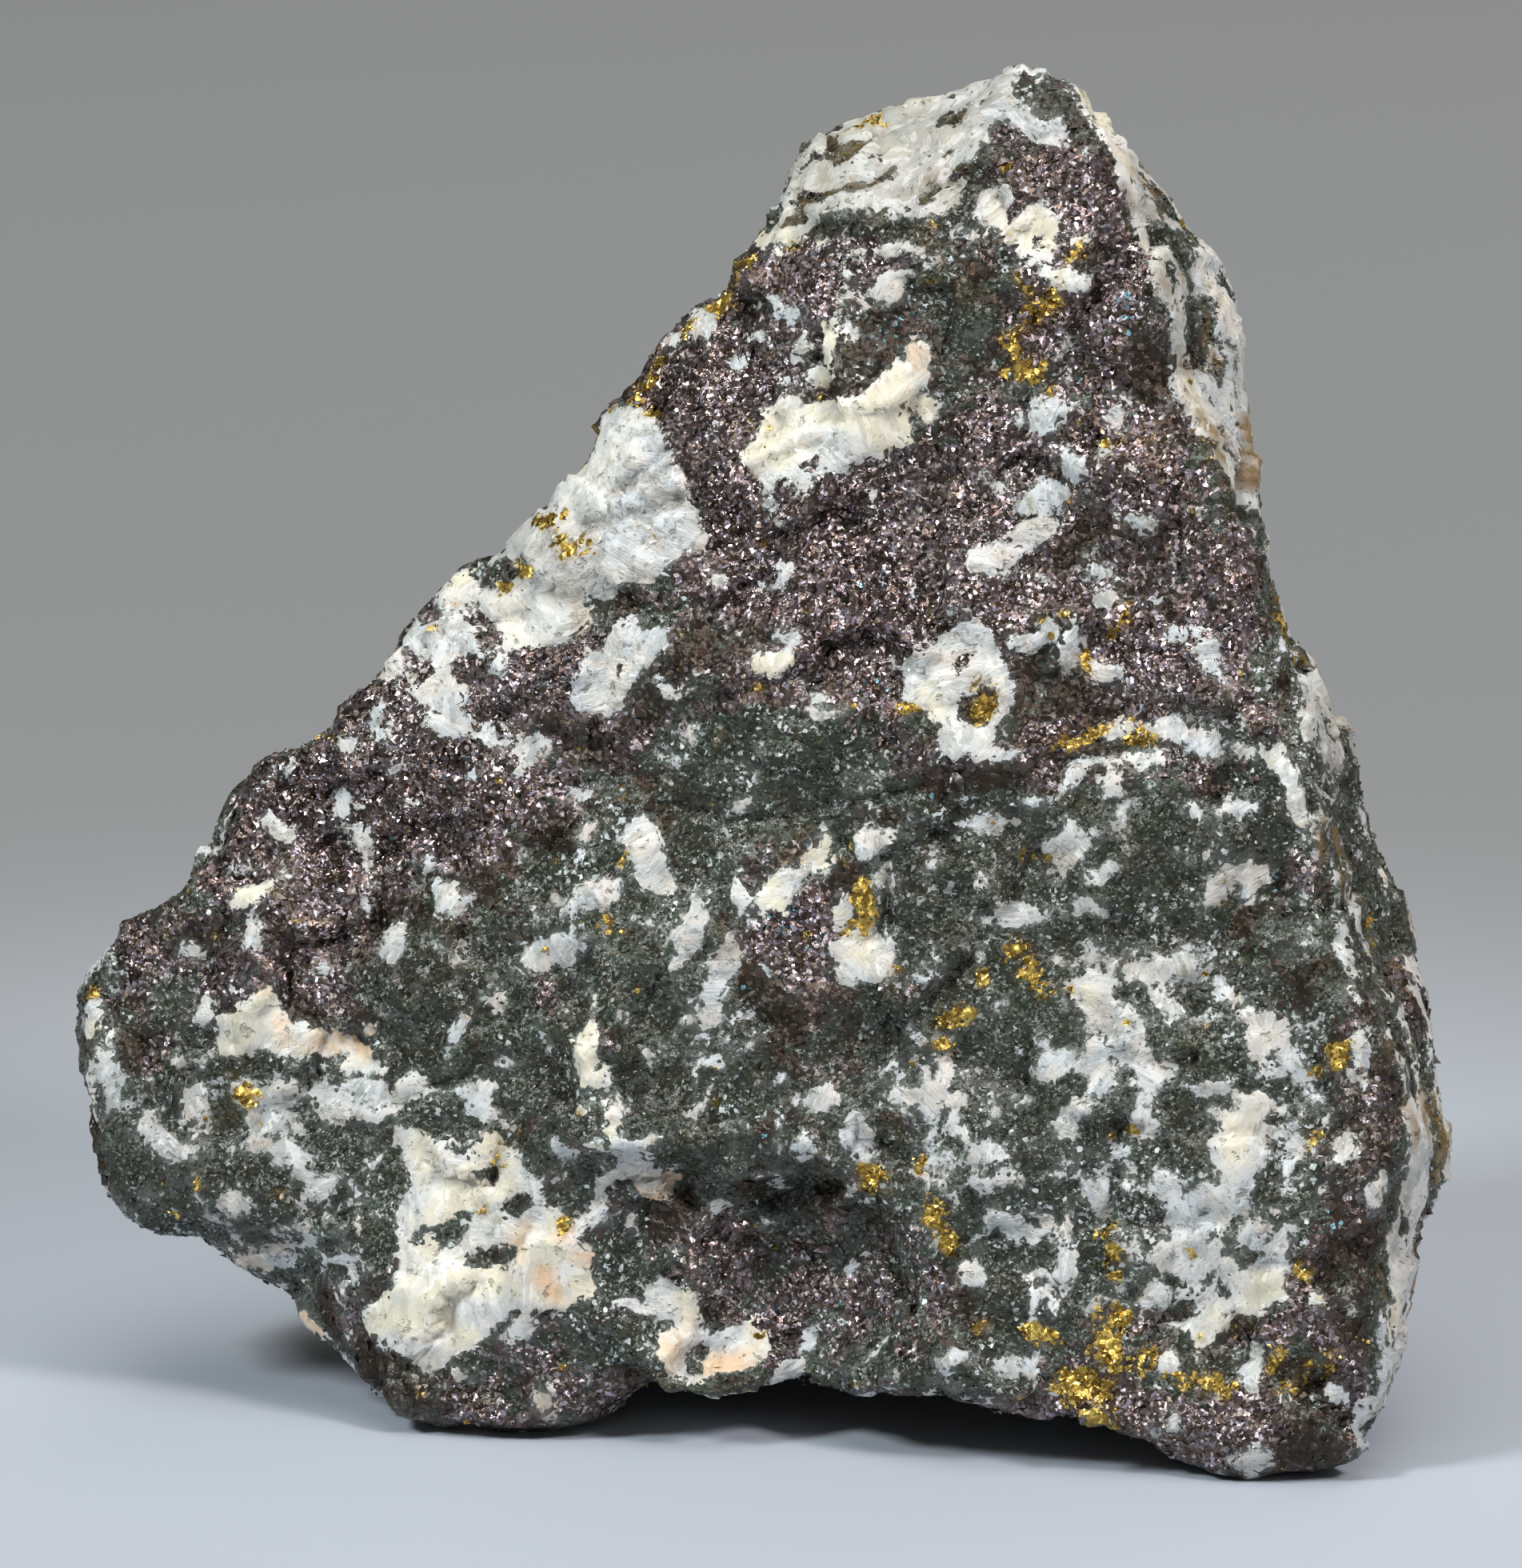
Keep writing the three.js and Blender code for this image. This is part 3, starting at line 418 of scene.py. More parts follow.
# Two soft lamps in front, right and left of the camera, and broad weak ones overhead and behind. Each has a
# name, its azimuth from the camera's side towards the right and its height in degrees, its distance and size
# in m, its power in W, and a colour
LAMPS = [
    ("right_lamp", 50, 42, 0.95, 0.20, 5.1, (1.0, 0.955, 0.965)),
    ("left_lamp", -58, 42, 0.95, 0.20, 5.7, (0.93, 0.99, 1.0)),
    ("overhead", 0, 80, 0.9, 0.6, 2.9, (1.0, 0.98, 0.95)),
    ("back_lamp", 155, 45, 1.2, 0.9, 3.2, (1.0, 0.98, 0.94)),
]
LAMP_AIM = (0, 0, 0.045)
SKY_COLOUR = (0.62, 0.585, 0.52, 1)
SKY_STRENGTH = 0.22
FLOOR_REACH = 3.0
# The floor is painted pale near the stone and grey farther off: painted shade for the fall-off of the lamps'
# light
FLOOR_FADE = (0.045, 0.19)
FLOOR_FAR_FADE = (0.20, 0.45)
FLOOR_PALE = (0.455, 0.500, 0.570, 1)
FLOOR_GREY = (0.256, 0.266, 0.276, 1)
FLOOR_FAR = (0.290, 0.302, 0.310, 1)


# ---- Random fields. The last whole number handed to each is its seed -----------------------------------
def hashed(cells, seed):
    """Three repeatable random numbers from 0 to 1 for each whole-number cell."""
    mixed = np.uint64((seed * SEED_STEP + SEED_START) * HASH_SEED % 2**64)
    for axis, odd in enumerate(HASH_AXES):
        mixed = mixed ^ cells[:, axis].astype(np.uint64) * np.uint64(odd)
    for shift, odd in HASH_ROUNDS:
        mixed = (mixed ^ (mixed >> np.uint64(shift))) * np.uint64(odd)
    mixed ^= mixed >> np.uint64(HASH_LAST_SHIFT)
    largest = 2**HASH_BITS - 1
    parts = [(mixed >> np.uint64(HASH_BITS * k)) & np.uint64(largest) for k in range(3)]
    return np.stack(parts, 1) / largest


def noise(points, size, seed):
    """Smooth random values from -1 to 1 that change over about size."""
    place = points / size
    cell = np.floor(place).astype(np.int64)
    along = place - cell
    along = along * along * (3 - 2 * along)
    total = np.zeros(len(points))
    for corner in itertools.product((0, 1), repeat=3):
        weight = np.prod(np.where(corner, along, 1 - along), axis=1)
        total += weight * hashed(cell + corner, seed)[:, 0]
    return 2 * total - 1


def layered(points, size, seed, layers=3):
    """Noise with finer, weaker noise on it."""
    weights = [FINER_WEIGHT**k for k in range(layers)]
    return sum(noise(points, size / 2**k, seed + k) * weights[k] for k in range(layers)) / sum(weights)


def facets(points, size, seed, lean=1.3, step=0.5):
    """Height of a surface broken into flat tilted facets about size across, as a share of size."""
    place = points / size
    base = np.floor(place).astype(np.int64)
    nearest = np.full(len(points), np.inf)
    height = np.zeros(len(points))
    for shift in itertools.product((-1, 0, 1), repeat=3):
        cell = base + shift
        offset = place - cell - hashed(cell, seed)
        distance = (offset**2).sum(1)
        closer = distance < nearest
        tilt = hashed(cell, seed + 1) - 0.5
        level = lean * (offset * tilt).sum(1) + step * (hashed(cell, seed + 2)[:, 0] - 0.5)
        nearest = np.where(closer, distance, nearest)
        height = np.where(closer, level, height)
    return height


def shares(values, most=1.0):
    """The values kept from 0 to most."""
    return np.clip(values, 0, most)


def smooth_step(value, low, high):
    """0 below low, 1 above high, smooth between."""
    share = shares((value - low) / (high - low))
    return share * share * (3 - 2 * share)


# ---- Patches on the broad face, as depth inside them in mm ---------------------------------------------
def face_place(points):
    """Where points (mm) are seen on the broad face: u and v."""
    y = points[:, 1] - V_ZERO_Y
    return points[:, 0] - U_ZERO_X, y * math.sin(LEAN) + points[:, 2] * math.cos(LEAN)


def spot_depth(u, v, spots):
    """Depth inside the deepest of the oval spots."""
    depth = np.full(len(u), FAR_OUTSIDE)
    for at_u, at_v, half_u, half_v, *turn in spots:
        near = (abs(u - at_u) < SPOT_REACH) & (abs(v - at_v) < SPOT_REACH)
        angle = math.radians(turn[0] if turn else 0)
        c, s = math.cos(angle), math.sin(angle)
        du, dv = u[near] - at_u, v[near] - at_v
        across, up = (du * c + dv * s) / half_u, (dv * c - du * s) / half_v
        inside = (1 - np.hypot(across, up)) * min(half_u, half_v)
        depth[near] = np.maximum(depth[near], inside)
    return depth


def segment_distance(u, v, start, end):
    du, dv = end[0] - start[0], end[1] - start[1]
    share = shares(((u - start[0]) * du + (v - start[1]) * dv) / (du * du + dv * dv))
    return np.hypot(u - start[0] - share * du, v - start[1] - share * dv)


def vein_depth(u, v, veins):
    depth = np.full(len(u), FAR_OUTSIDE)
    for half_width, points in veins:
        for start, end in zip(points, points[1:]):
            depth = np.maximum(depth, half_width - segment_distance(u, v, start, end))
    return depth


def outline_depth(u, v, outlines):
    """Depth inside the closed outlines, negative outside."""
    depth = np.full(len(u), FAR_OUTSIDE)
    for corners in outlines.values():
        away = np.full(len(u), -FAR_OUTSIDE)
        inside = np.zeros(len(u), bool)
        for start, end in zip(corners, corners[1:] + corners[:1]):
            away = np.minimum(away, segment_distance(u, v, start, end))
            crosses = (start[1] > v) != (end[1] > v)
            rise = (end[1] - start[1]) or TINY
            inside ^= crosses & (u < start[0] + (v - start[1]) * (end[0] - start[0]) / rise)
        depth = np.maximum(depth, np.where(inside, away, -away))
    return depth


def zone_share(u, v, zones):
    """From 0 to the strongest zone's strength, fading out over each zone's edge."""
    share = np.zeros(len(u))
    for at_u, at_v, half_u, half_v, strength in zones:
        reach = np.hypot((u - at_u) / half_u, (v - at_v) / half_v)
        share = np.maximum(share, strength * (1 - smooth_step(reach, *ZONE_FADE)))
    return share


# ---- Which mineral is where ----------------------------------------------------------------------------
def network(points, seed):
    """Depth inside a net of thin wandering walls, in mm."""
    walls = 1 - abs(layered(points, NET_MESH, seed, 2)) / NET_WALL
    gaps = noise(points, NET_GAP, seed + 5)
    return 1.2 * np.clip(walls, -2, 1) + 0.8 * gaps - 0.62


def crooked(points, u, v):
    """The places shifted by noise, which makes the borders of spots and outlines irregular."""
    u = u + 0.8 * noise(points, 2.8, 56) + 0.4 * noise(points, 1.2, 57)
    return u, v + 0.8 * noise(points, 2.8, 58) + 0.4 * noise(points, 1.2, 59)


def slope_streaks(u, v):
    """Noise drawn out along the streaks of the summit bevel."""
    c, s = math.cos(math.radians(STREAK_TURN)), math.sin(math.radians(STREAK_TURN))
    along, across = u * c + v * s, v * c - u * s
    return noise(np.stack([STREAK_STRETCH * along, across, 0 * u], 1), 0.55, 53)


def face_pale(points, u, v, ragged):
    """Depth inside the pale rock: spots, veins, patches, white network, flecks that paint light into the
    hollow, other flecks, less dark spots.
    """
    depths = [
        1.5 * spot_depth(u, v, PALE_SPOTS),
        1.2 * vein_depth(u, v, PALE_VEINS) - 0.4 + 1.1 * noise(points, 2.7, 55),
        1.8 * outline_depth(u, v, PALE_OUTLINES),
        network(points, 44) - 2.2 * (1 - zone_share(u, v, NETWORK_ZONES)),
        1.2 * zone_share(u, v, HOLLOW_PAINTED_LIGHT_ZONES) - 1.85,
        1.5 * noise(points, 1.7, 43) - 1.2,
    ]
    pale = np.max(depths, axis=0) + 0.6 * ragged
    return np.minimum(pale, 0.5 * ragged - 1.6 * spot_depth(u, v, DARK_SPOTS))


def face_minerals(points):
    """The minerals of the broad face."""
    u, v = crooked(points, *face_place(points))
    ragged = 0.85 * noise(points, 2.1, 40) + 0.6 * noise(points, 1.1, 41)
    streaked = zone_share(u, v, STREAKED_ZONES) * np.clip(slope_streaks(u, v) - 0.2, 0, 1)
    pale = np.minimum(face_pale(points, u, v, ragged), DEEPEST_PALE - 5.5 * streaked)
    crumbs = 1.3 * noise(points, 1.2, 46) + 0.5 * noise(points, 4.1, 47) - 1.45
    bornite = zone_share(u, v, BORNITE_ZONES) - zone_share(u, v, SILICATE_ZONES)
    patchy = 0.5 * layered(points, 3.8, 48) + 0.22 * noise(points, 1.5, 49)
    creamy = 0.3 * smooth_step(pale, 0.4, 1.8) + 0.8 * noise(points, 2.6, 50) - 0.1
    return {
        "pale": pale,
        "brass": np.maximum(spot_depth(u, v, BRASS_SPOTS) + 0.6 * ragged - 0.12, crumbs),
        "bornite": shares(0.44 + 0.45 * bornite + patchy),
        "cream": shares(zone_share(u, v, CREAM_ZONES) + creamy),
        "peach": shares(zone_share(u, v, PEACH_ZONES) * (0.6 + 1.4 * noise(points, 1.7, 54)), 0.9),
        "shade_and_stain": shares(zone_share(u, v, SHADE_AND_STAIN_ZONES) + 0.5 * layered(points, 5.5, 45, 2) - 0.1),
        "glitter": shares(0.2 + 0.8 * zone_share(u, v, GLITTER_ZONES) + 0.75 * layered(points, 4.2, 51, 2)),
        "rust": 0.35 * shares(noise(points, 2.6, 52) - 0.45) + 0.6 * streaked,
    }


def between(place, stops):
    """The value at a place between stops, each a (place, value)."""
    return np.interp(place, [stop[0] for stop in stops], [stop[1] for stop in stops])


def side_minerals(points, past):
    """The minerals of the right side, past mm beyond the ridge: a cream band, then streaked silky rock."""
    along = points * np.array([1.0, 1.0, STREAK_STRETCH])
    streak = 1.6 * noise(along, 0.9, 60) + 1.3 * noise(along, 2.6, 61)
    height = face_place(points)[1]
    band = smooth_step(past, 0.2, 0.8) * (1 - smooth_step(past, 1.4, 2.4)) * smooth_step(height, 74, 80)
    level, rim = between(height, SIDE_LEVELS), between(height, SIDE_RIM)
    level = np.where(past > rim, np.maximum(level, 0.9 * smooth_step(past - rim, 0.0, 0.8)), level)
    rusty = smooth_step(height, 76, 78.5) * (1 - smooth_step(height, 82.5, 85.5))
    rusty_streaks = 1.9 * noise(along, 0.9, 67) + 0.9 * noise(points, 5.0, 68) - 0.75
    return {
        "pale": level - 1.6 * np.clip(streak, -0.4, 2) - 0.7 * noise(points, 6.5, 62) + 0.8 * band,
        "brass": 1.2 * noise(along, 1.4, 63) + 0.9 * noise(points, 6.1, 64) - 1.35,
        "bornite": shares(0.25 + 0.5 * noise(points, 6.0, 65)),
        "cream": shares(0.35 + 0.9 * noise(along, 2.6, 66) + 0.8 * band),
        "peach": 0 * streak,
        "shade_and_stain": shares(0.2 + noise(points, 5.0, 69)),
        "glitter": 0.3 + 0 * streak,
        "rust": shares(rusty_streaks + 0.9 * rusty, 0.9),
    }


def far_minerals(points):
    """The minerals of the back, the underside and the left end."""
    netted = smooth_step(noise(points, 19, 74), -0.2, 0.4)
    depths = [
        2.6 * layered(points, 10, 70) - 0.75,
        network(points, 72) - 1.6 * (1 - netted),
        1.5 * noise(points, 1.7, 75) - 1.2,
    ]
    return {
        "pale": np.max(depths, axis=0),
        "brass": 1.5 * noise(points, 1.6, 76) + 1.5 * noise(points, 6.5, 77) - 1.6,
        "bornite": shares(0.5 + 1.3 * layered(points, 15, 78)),
        "cream": shares(0.4 + 0.9 * noise(points, 8, 79)),
        "peach": shares(1.6 * noise(points, 6, 80) - 0.9),
        "shade_and_stain": shares(1.1 * layered(points, 9, 83, 2) - 0.1),
        "glitter": shares(0.45 + 0.9 * noise(points, 11, 81)),
        "rust": 0.5 * shares(noise(points, 4, 82) - 0.35),
    }


def minerals(points, normals):
    """Every mineral field at points (mm) on the surface that faces along normals."""
    u, v = face_place(points)
    sight = np.array([0.0, -math.cos(LEAN), math.sin(LEAN)])
    facing = smooth_step(normals @ sight, *FACE_TURN)
    past = u - between(v, RIDGE) + 0.7 * noise(points, 3, 90)
    beyond = smooth_step(past, -0.4, 0.8) * smooth_step(normals[:, 0], *SIDE_TURN)
    face, side, far = face_minerals(points), side_minerals(points, past), far_minerals(points)
    return {
        name: (face[name] * facing + far[name] * (1 - facing)) * (1 - beyond) + side[name] * beyond
        for name in face
    }


# ---- The surface ---------------------------------------------------------------------------------------
def placed(name, data):
    """A new object in the scene."""
    thing = bpy.data.objects.new(name, data)
    bpy.context.scene.collection.objects.link(thing)
    return thing


def fine_mesh(source):
    """A copy of the faceted solid's mesh with small even faces."""
    copy = placed("fine", source.data.copy())
    remesh = copy.modifiers.new("even", "REMESH")
    remesh.mode = "VOXEL"
    remesh.voxel_size = SKIN_CELL * MM
    evaluated = copy.evaluated_get(bpy.context.evaluated_depsgraph_get())
    mesh = bpy.data.meshes.new_from_object(evaluated)
    bpy.data.objects.remove(copy)
    return mesh


def read(items, name, width=1, kind=float):
    """A property of every item of a mesh, as rows of width numbers."""
    values = np.empty(len(items) * width, kind)
    items.foreach_get(name, values)
    return values.reshape(-1, width)


def vertex_places(mesh):
    """A mesh's vertices in mm."""
    return read(mesh.vertices, "co", 3) / MM


def vertex_normals(mesh):
    return read(mesh.vertex_normals, "vector", 3)


def set_places(mesh, places):
    mesh.vertices.foreach_set("co", (places * MM).ravel())
    mesh.update()


class Neighbours:
    """Averages values over each vertex's neighbours."""

    def __init__(self, mesh):
        ends = read(mesh.edges, "vertices", 2, np.int64)
        self.here = np.concatenate([ends[:, 0], ends[:, 1]])
        self.there = np.concatenate([ends[:, 1], ends[:, 0]])
        self.count = np.bincount(self.here, minlength=len(mesh.vertices)).clip(1)

    def average(self, values):
        columns = [
            np.bincount(self.here, values[self.there, k], len(self.count)) / self.count
            for k in range(values.shape[1])
        ]
        return np.stack(columns, 1)


def evened(places, neighbours):
    """The flat facets of the solid rounded into each other, without shrinking it."""
    for step in range(EVENING_PASSES):
        places = places + EVENING_SHARES[step % 2] * (neighbours.average(places) - places)
    return places


def cleft_share(points, normals):
    """From 0 to 1 in the middle of a cleft, on the broad face only."""
    u, v = face_place(points)
    wander = 0.25 * noise(points, 1.3, 92)
    share = smooth_step(vein_depth(u + wander, v - wander, CLEFTS), -0.35, 0.15)
    return share * smooth_step(-normals[:, 1], 0.1, 0.4)


def broken(points, kind, seed, *tilts):
    """Height of facets of one kind, in mm."""
    return kind["height"] * kind["size"] * facets(points, kind["size"], seed, *tilts)


def relief(points, fields):
    """How far the surface stands out, in mm: broken facets of several sizes, and long laths in pale rock."""
    pale = smooth_step(fields["pale"], -0.2, 0.5)
    rough = broken(points, CRUMBS, 4) + broken(points, GRIT, 7, 1.0, 1.0)
    bend = LATH_BEND * np.stack([noise(points, BEND_SIZE, seed) for seed in (10, 11, 12)], 1)
    laths = LATHS["height"] * facets(points / LATHS["size"] + bend, 1, 13, 0.7, 1.0)
    blocks = broken(points + 3 * bend, BLOCKS, 16, 1.6, 0.8)
    return broken(points, CHIPS, 1) + rough * (1 - 0.7 * pale) + (laths + blocks + PALE_STEP) * pale


def roughened(mesh):
    """Breaks up the even skin, keeps the flat feet, and returns the minerals and the hollows on it."""
    neighbours = Neighbours(mesh)
    places = vertex_places(mesh)
    foot = places[:, 2] < FOOT_HEIGHT
    floor = places[:, 2].min()
    places = np.where(foot[:, None], places, evened(places, neighbours))
    set_places(mesh, places)
    normals = vertex_normals(mesh)
    fields = minerals(places, normals)
    lift = smooth_step(places[:, 2], FOOT_HEIGHT, FOOT_FADE)
    cleft = cleft_share(places, normals)
    places = places + normals * (relief(places, fields) * lift - CLEFT_DEPTH * cleft)[:, None]
    places[:, 2] = np.maximum(places[:, 2], np.where(foot, floor, floor + SKIN_CLEARANCE))
    set_places(mesh, places)
    smooth = places
    for _ in range(HOLLOW_PASSES):
        smooth = neighbours.average(smooth)
    # How hollow the skin is, with painted shade added along the clefts. The material darkens hollows by it
    fields["hollow"] = ((smooth - places) * vertex_normals(mesh)).sum(1) + CLEFT_SHADE * cleft
    return fields


def store(mesh, fields):
    """Keeps each field on the mesh's vertices for the material to read."""
    for name, values in fields.items():
        layer = mesh.attributes.new(name, "FLOAT", "POINT")
        layer.data.foreach_set("value", values.astype(np.float32))


# ---- Materials -----------------------------------------------------------------------------------------
class Nodes:
    """Writes a material's node tree. Each method adds nodes and returns an output."""

    def __init__(self, name):
        self.material = bpy.data.materials.new(name)
        self.material.use_nodes = True
        self.tree = self.material.node_tree
        self.tree.nodes.clear()
        self.place = self.add("ShaderNodeTexCoord").outputs["Object"]

    def feed(self, socket, value):
        """Links another node's output to the socket, or sets the socket to a plain value."""
        if isinstance(value, bpy.types.NodeSocket):
            self.tree.links.new(value, socket)
        else:
            socket.default_value = value

    def add(self, kind, inputs=None, **settings):
        node = self.tree.nodes.new(kind)
        for name, value in settings.items():
            setattr(node, name, value)
        for key, value in (inputs or {}).items():
            self.feed(node.inputs[key], value)
        return node

    def field(self, name):
        return self.add("ShaderNodeAttribute", attribute_name=name).outputs["Fac"]

    def maths(self, operation, first, second):
        return self.add("ShaderNodeMath", {0: first, 1: second}, operation=operation).outputs[0]

    def plus(self, total, *others):
        for other in others:
            total = self.maths("ADD", total, other)
        return total

    def minus(self, first, second):
        return self.maths("SUBTRACT", first, second)

    def times(self, first, second):
        return self.maths("MULTIPLY", first, second)

    def larger(self, first, second):
        return self.maths("MAXIMUM", first, second)

    def vectors(self, operation, first, second):
        return self.add("ShaderNodeVectorMath", {0: first, 1: second}, operation=operation).outputs[0]

    def scaled(self, vector, share):
        inputs = {0: vector, "Scale": share}
        return self.add("ShaderNodeVectorMath", inputs, operation="SCALE").outputs[0]

    def band(self, value, low, high):
        """0 below low, 1 above high, smooth between."""
        inputs = {"Value": value, "From Min": low, "From Max": high}
        return self.add("ShaderNodeMapRange", inputs, interpolation_type="SMOOTHSTEP").outputs[0]

    def mixed(self, share, first, second, strength=1.0):
        """A colour between first and second, at most strength of the way."""
        if strength < 1:
            share = self.times(share, strength)
        node = self.add("ShaderNodeMix", data_type="RGBA")
        for key, value in {"Factor": share, "A": first, "B": second}.items():
            self.feed(next(s for s in node.inputs if s.name == key and s.enabled), value)
        return next(s for s in node.outputs if s.enabled)

    def blended(self, share, first, second):
        """A number between first and second."""
        return self.plus(self.times(first, self.minus(1.0, share)), self.times(second, share))

    def texture(self, kind, size, output, inputs=None, **settings):
        """An output of a texture whose features are about size mm across."""
        inputs = {"Vector": self.place, "Scale": 1 / (size * MM), **(inputs or {})}
        return self.add(kind, inputs, **settings).outputs[output]

    def noise(self, size, detail=2.0, roughness=0.6, where=None):
        """Noise from 0 to 1 about size mm across."""
        inputs = {"Vector": where or self.place, "Detail": detail, "Roughness": roughness}
        return self.texture("ShaderNodeTexNoise", size, "Fac", inputs)

    def cells(self, size, where):
        """A random colour for each cell about size mm across."""
        return self.texture("ShaderNodeTexVoronoi", size, "Color", {"Vector": where})

    def edges(self, size, where):
        """The distance to the nearest border between cells about size mm across, as a share of size."""
        inputs = {"Vector": where}
        return self.texture("ShaderNodeTexVoronoi", size, "Distance", inputs, feature="DISTANCE_TO_EDGE")

    def centred(self, colour):
        """A random colour as a push from -0.5 to 0.5 along each axis."""
        return self.vectors("SUBTRACT", colour, (0.5, 0.5, 0.5))

    def warped(self, reach):
        """The place shifted up to about reach mm by fine noise, which makes cell borders crooked."""
        wander = self.texture("ShaderNodeTexNoise", WARP_SIZE, "Color", {"Detail": 1.0})
        return self.vectors("ADD", self.place, self.scaled(self.centred(wander), reach * MM))

    def parts(self, colour):
        return self.add("ShaderNodeSeparateColor", {0: colour}).outputs

    def finish(self, inputs):
        shader = self.add("ShaderNodeBsdfPrincipled", inputs)
        self.add("ShaderNodeOutputMaterial", {"Surface": shader.outputs[0]})
        return self.material


def fibre_place(nodes):
    """The place drawn out along the fibres, which turn from one clump to the next."""
    clump = nodes.parts(nodes.cells(FIBRE_CLUMP, nodes.warped(1.2)))
    axis = (0, -math.cos(LEAN), math.sin(LEAN))
    inputs = {"Vector": nodes.place, "Axis": axis, "Angle": nodes.times(clump[0], math.pi)}
    turned_place = nodes.add("ShaderNodeVectorRotate", inputs).outputs[0]
    return nodes.vectors("MULTIPLY", turned_place, (FIBRE_STRETCH, 1.0, 1.0))


def fibres(nodes):
    """Silky streaks, 0 dark to 1 light, and a random colour for each flat plate between them."""
    along = fibre_place(nodes)
    plates = nodes.cells(PLATE_SIZE, nodes.vectors("MULTIPLY", along, (PLATE_SHORTENING, 1.0, 1.0)))
    return nodes.noise(STREAK_SIZE, 3.0, 0.65, along), plates


def granular_border(nodes):
    """How far, in mm, a mineral's border is pushed in or out: by ragged noise, and grain by grain."""
    ragged = nodes.minus(nodes.noise(1.5, 3.0), 0.5)
    lumps = nodes.minus(nodes.parts(nodes.cells(0.85, nodes.warped(0.35)))[0], 0.5)
    crumbs = nodes.minus(nodes.parts(nodes.cells(0.36, nodes.warped(0.2)))[1], 0.5)
    return nodes.plus(nodes.times(ragged, 1.8), nodes.times(lumps, 0.95), nodes.times(crumbs, 0.3))


def pale_tint(nodes, cream):
    """White, warm white, cream, yellow and peach."""
    tint = nodes.mixed(nodes.band(nodes.noise(3.4, 3.0), 0.46, 0.60), PALE_WHITE, PALE_WARM)
    tint = nodes.mixed(cream, tint, PALE_CREAM)
    core = nodes.plus(cream, nodes.times(nodes.noise(2.0, 3.0), 0.8))
    tint = nodes.mixed(nodes.band(core, 1.05, 1.4), tint, PALE_YELLOW, 0.6)
    return nodes.mixed(nodes.field("peach"), tint, PALE_PEACH)


def pale_marks(nodes, cream, tint):
    """Fine dark specks, fewer in cream rock, and sparse thin cracks."""
    speck = nodes.parts(nodes.cells(0.32, nodes.warped(0.25)))[2]
    speck = nodes.plus(speck, nodes.times(nodes.noise(1.9, 3.0), 0.5))
    speck = nodes.times(nodes.band(speck, 1.14, 1.24), nodes.blended(cream, 0.5, 0.12))
    tint = nodes.mixed(speck, tint, PALE_SPECK)
    crack = nodes.band(nodes.edges(CRACK_SPACING, nodes.warped(2.0)), 0.016, 0.0)
    crack = nodes.times(crack, nodes.band(nodes.noise(4.0), 0.48, 0.60))
    return nodes.mixed(crack, tint, CRACK, 0.55)


def pale_colour(nodes, streaks, plate_colour):
    """Pale rock: fibre streaks of tone and painted shade, translucent grey spots, painted highlights on
    plates.
    """
    plate = nodes.parts(plate_colour)
    cream = nodes.field("cream")
    clouds = nodes.times(nodes.noise(1.3, 4.0, 0.65), 0.7)
    light = nodes.plus(streaks, clouds, nodes.times(cream, 0.22), nodes.times(plate[0], 0.2))
    # Darker along fibre streaks and clouds: partly the rock's tone, partly painted shade between the fibres
    tint = nodes.mixed(nodes.band(light, 0.68, 0.96), PALE_SHADE, pale_tint(nodes, cream))
    # Darker by zone: stain, and painted shade on the summit bevel and in the hollow
    tint = nodes.mixed(nodes.field("shade_and_stain"), tint, PALE_SHADE_AND_STAIN, 0.72)
    clear = nodes.band(nodes.noise(2.1, 3.0), 0.50, 0.68)
    tint = nodes.mixed(nodes.times(clear, nodes.blended(cream, 0.65, 0.15)), tint, PALE_CLEAR)
    # Some plates get a painted highlight, near white
    tint = nodes.mixed(nodes.band(plate[1], 0.70, 0.80), tint, PALE_PAINTED_HIGHLIGHT, 0.4)
    return pale_marks(nodes, cream, tint)


def bornite_colour(nodes, crystal):
    """Purple-brown metal, rosy on some crystals and tarnished blue on very few."""
    body = nodes.mixed(nodes.band(crystal[0], 0.15, 1.0), BORNITE_DARK, BORNITE_BROWN)
    rosy = nodes.mixed(nodes.band(crystal[1], 0.60, 0.85), body, BORNITE_ROSE)
    fresh = nodes.mixed(nodes.band(nodes.field("glitter"), 0.1, 0.6), BORNITE_DULL, rosy)
    tarnish = nodes.band(nodes.plus(crystal[2], nodes.noise(6.0, 1.0)), 1.62, 1.66)
    return nodes.mixed(tarnish, fresh, TARNISH_BLUE)


def silicate_colour(nodes, crystal):
    """Green-black grains with fine grey and white specks in them."""
    body = nodes.mixed(nodes.band(crystal[0], 0.1, 1.0), SILICATE_DARK, SILICATE_GREEN)
    body = nodes.mixed(nodes.band(nodes.noise(2.4), 0.48, 0.66), body, SILICATE_BROWN, 0.4)
    speck = nodes.parts(nodes.cells(0.2, nodes.warped(0.1)))
    grey = nodes.plus(speck[0], nodes.times(nodes.noise(1.8, 3.0), 0.6))
    body = nodes.mixed(nodes.band(grey, 1.08, 1.26), body, SILICATE_GREY)
    light = nodes.plus(crystal[1], nodes.times(nodes.noise(2.9), 0.35), nodes.times(nodes.noise(8.0), 0.6))
    return nodes.mixed(nodes.band(light, 1.42, 1.47), body, SPECK_WHITE)


def brass_colour(nodes, crystal):
    return nodes.mixed(nodes.band(crystal[0], 0.25, 0.9), BRASS_DARK, BRASS_BRIGHT)


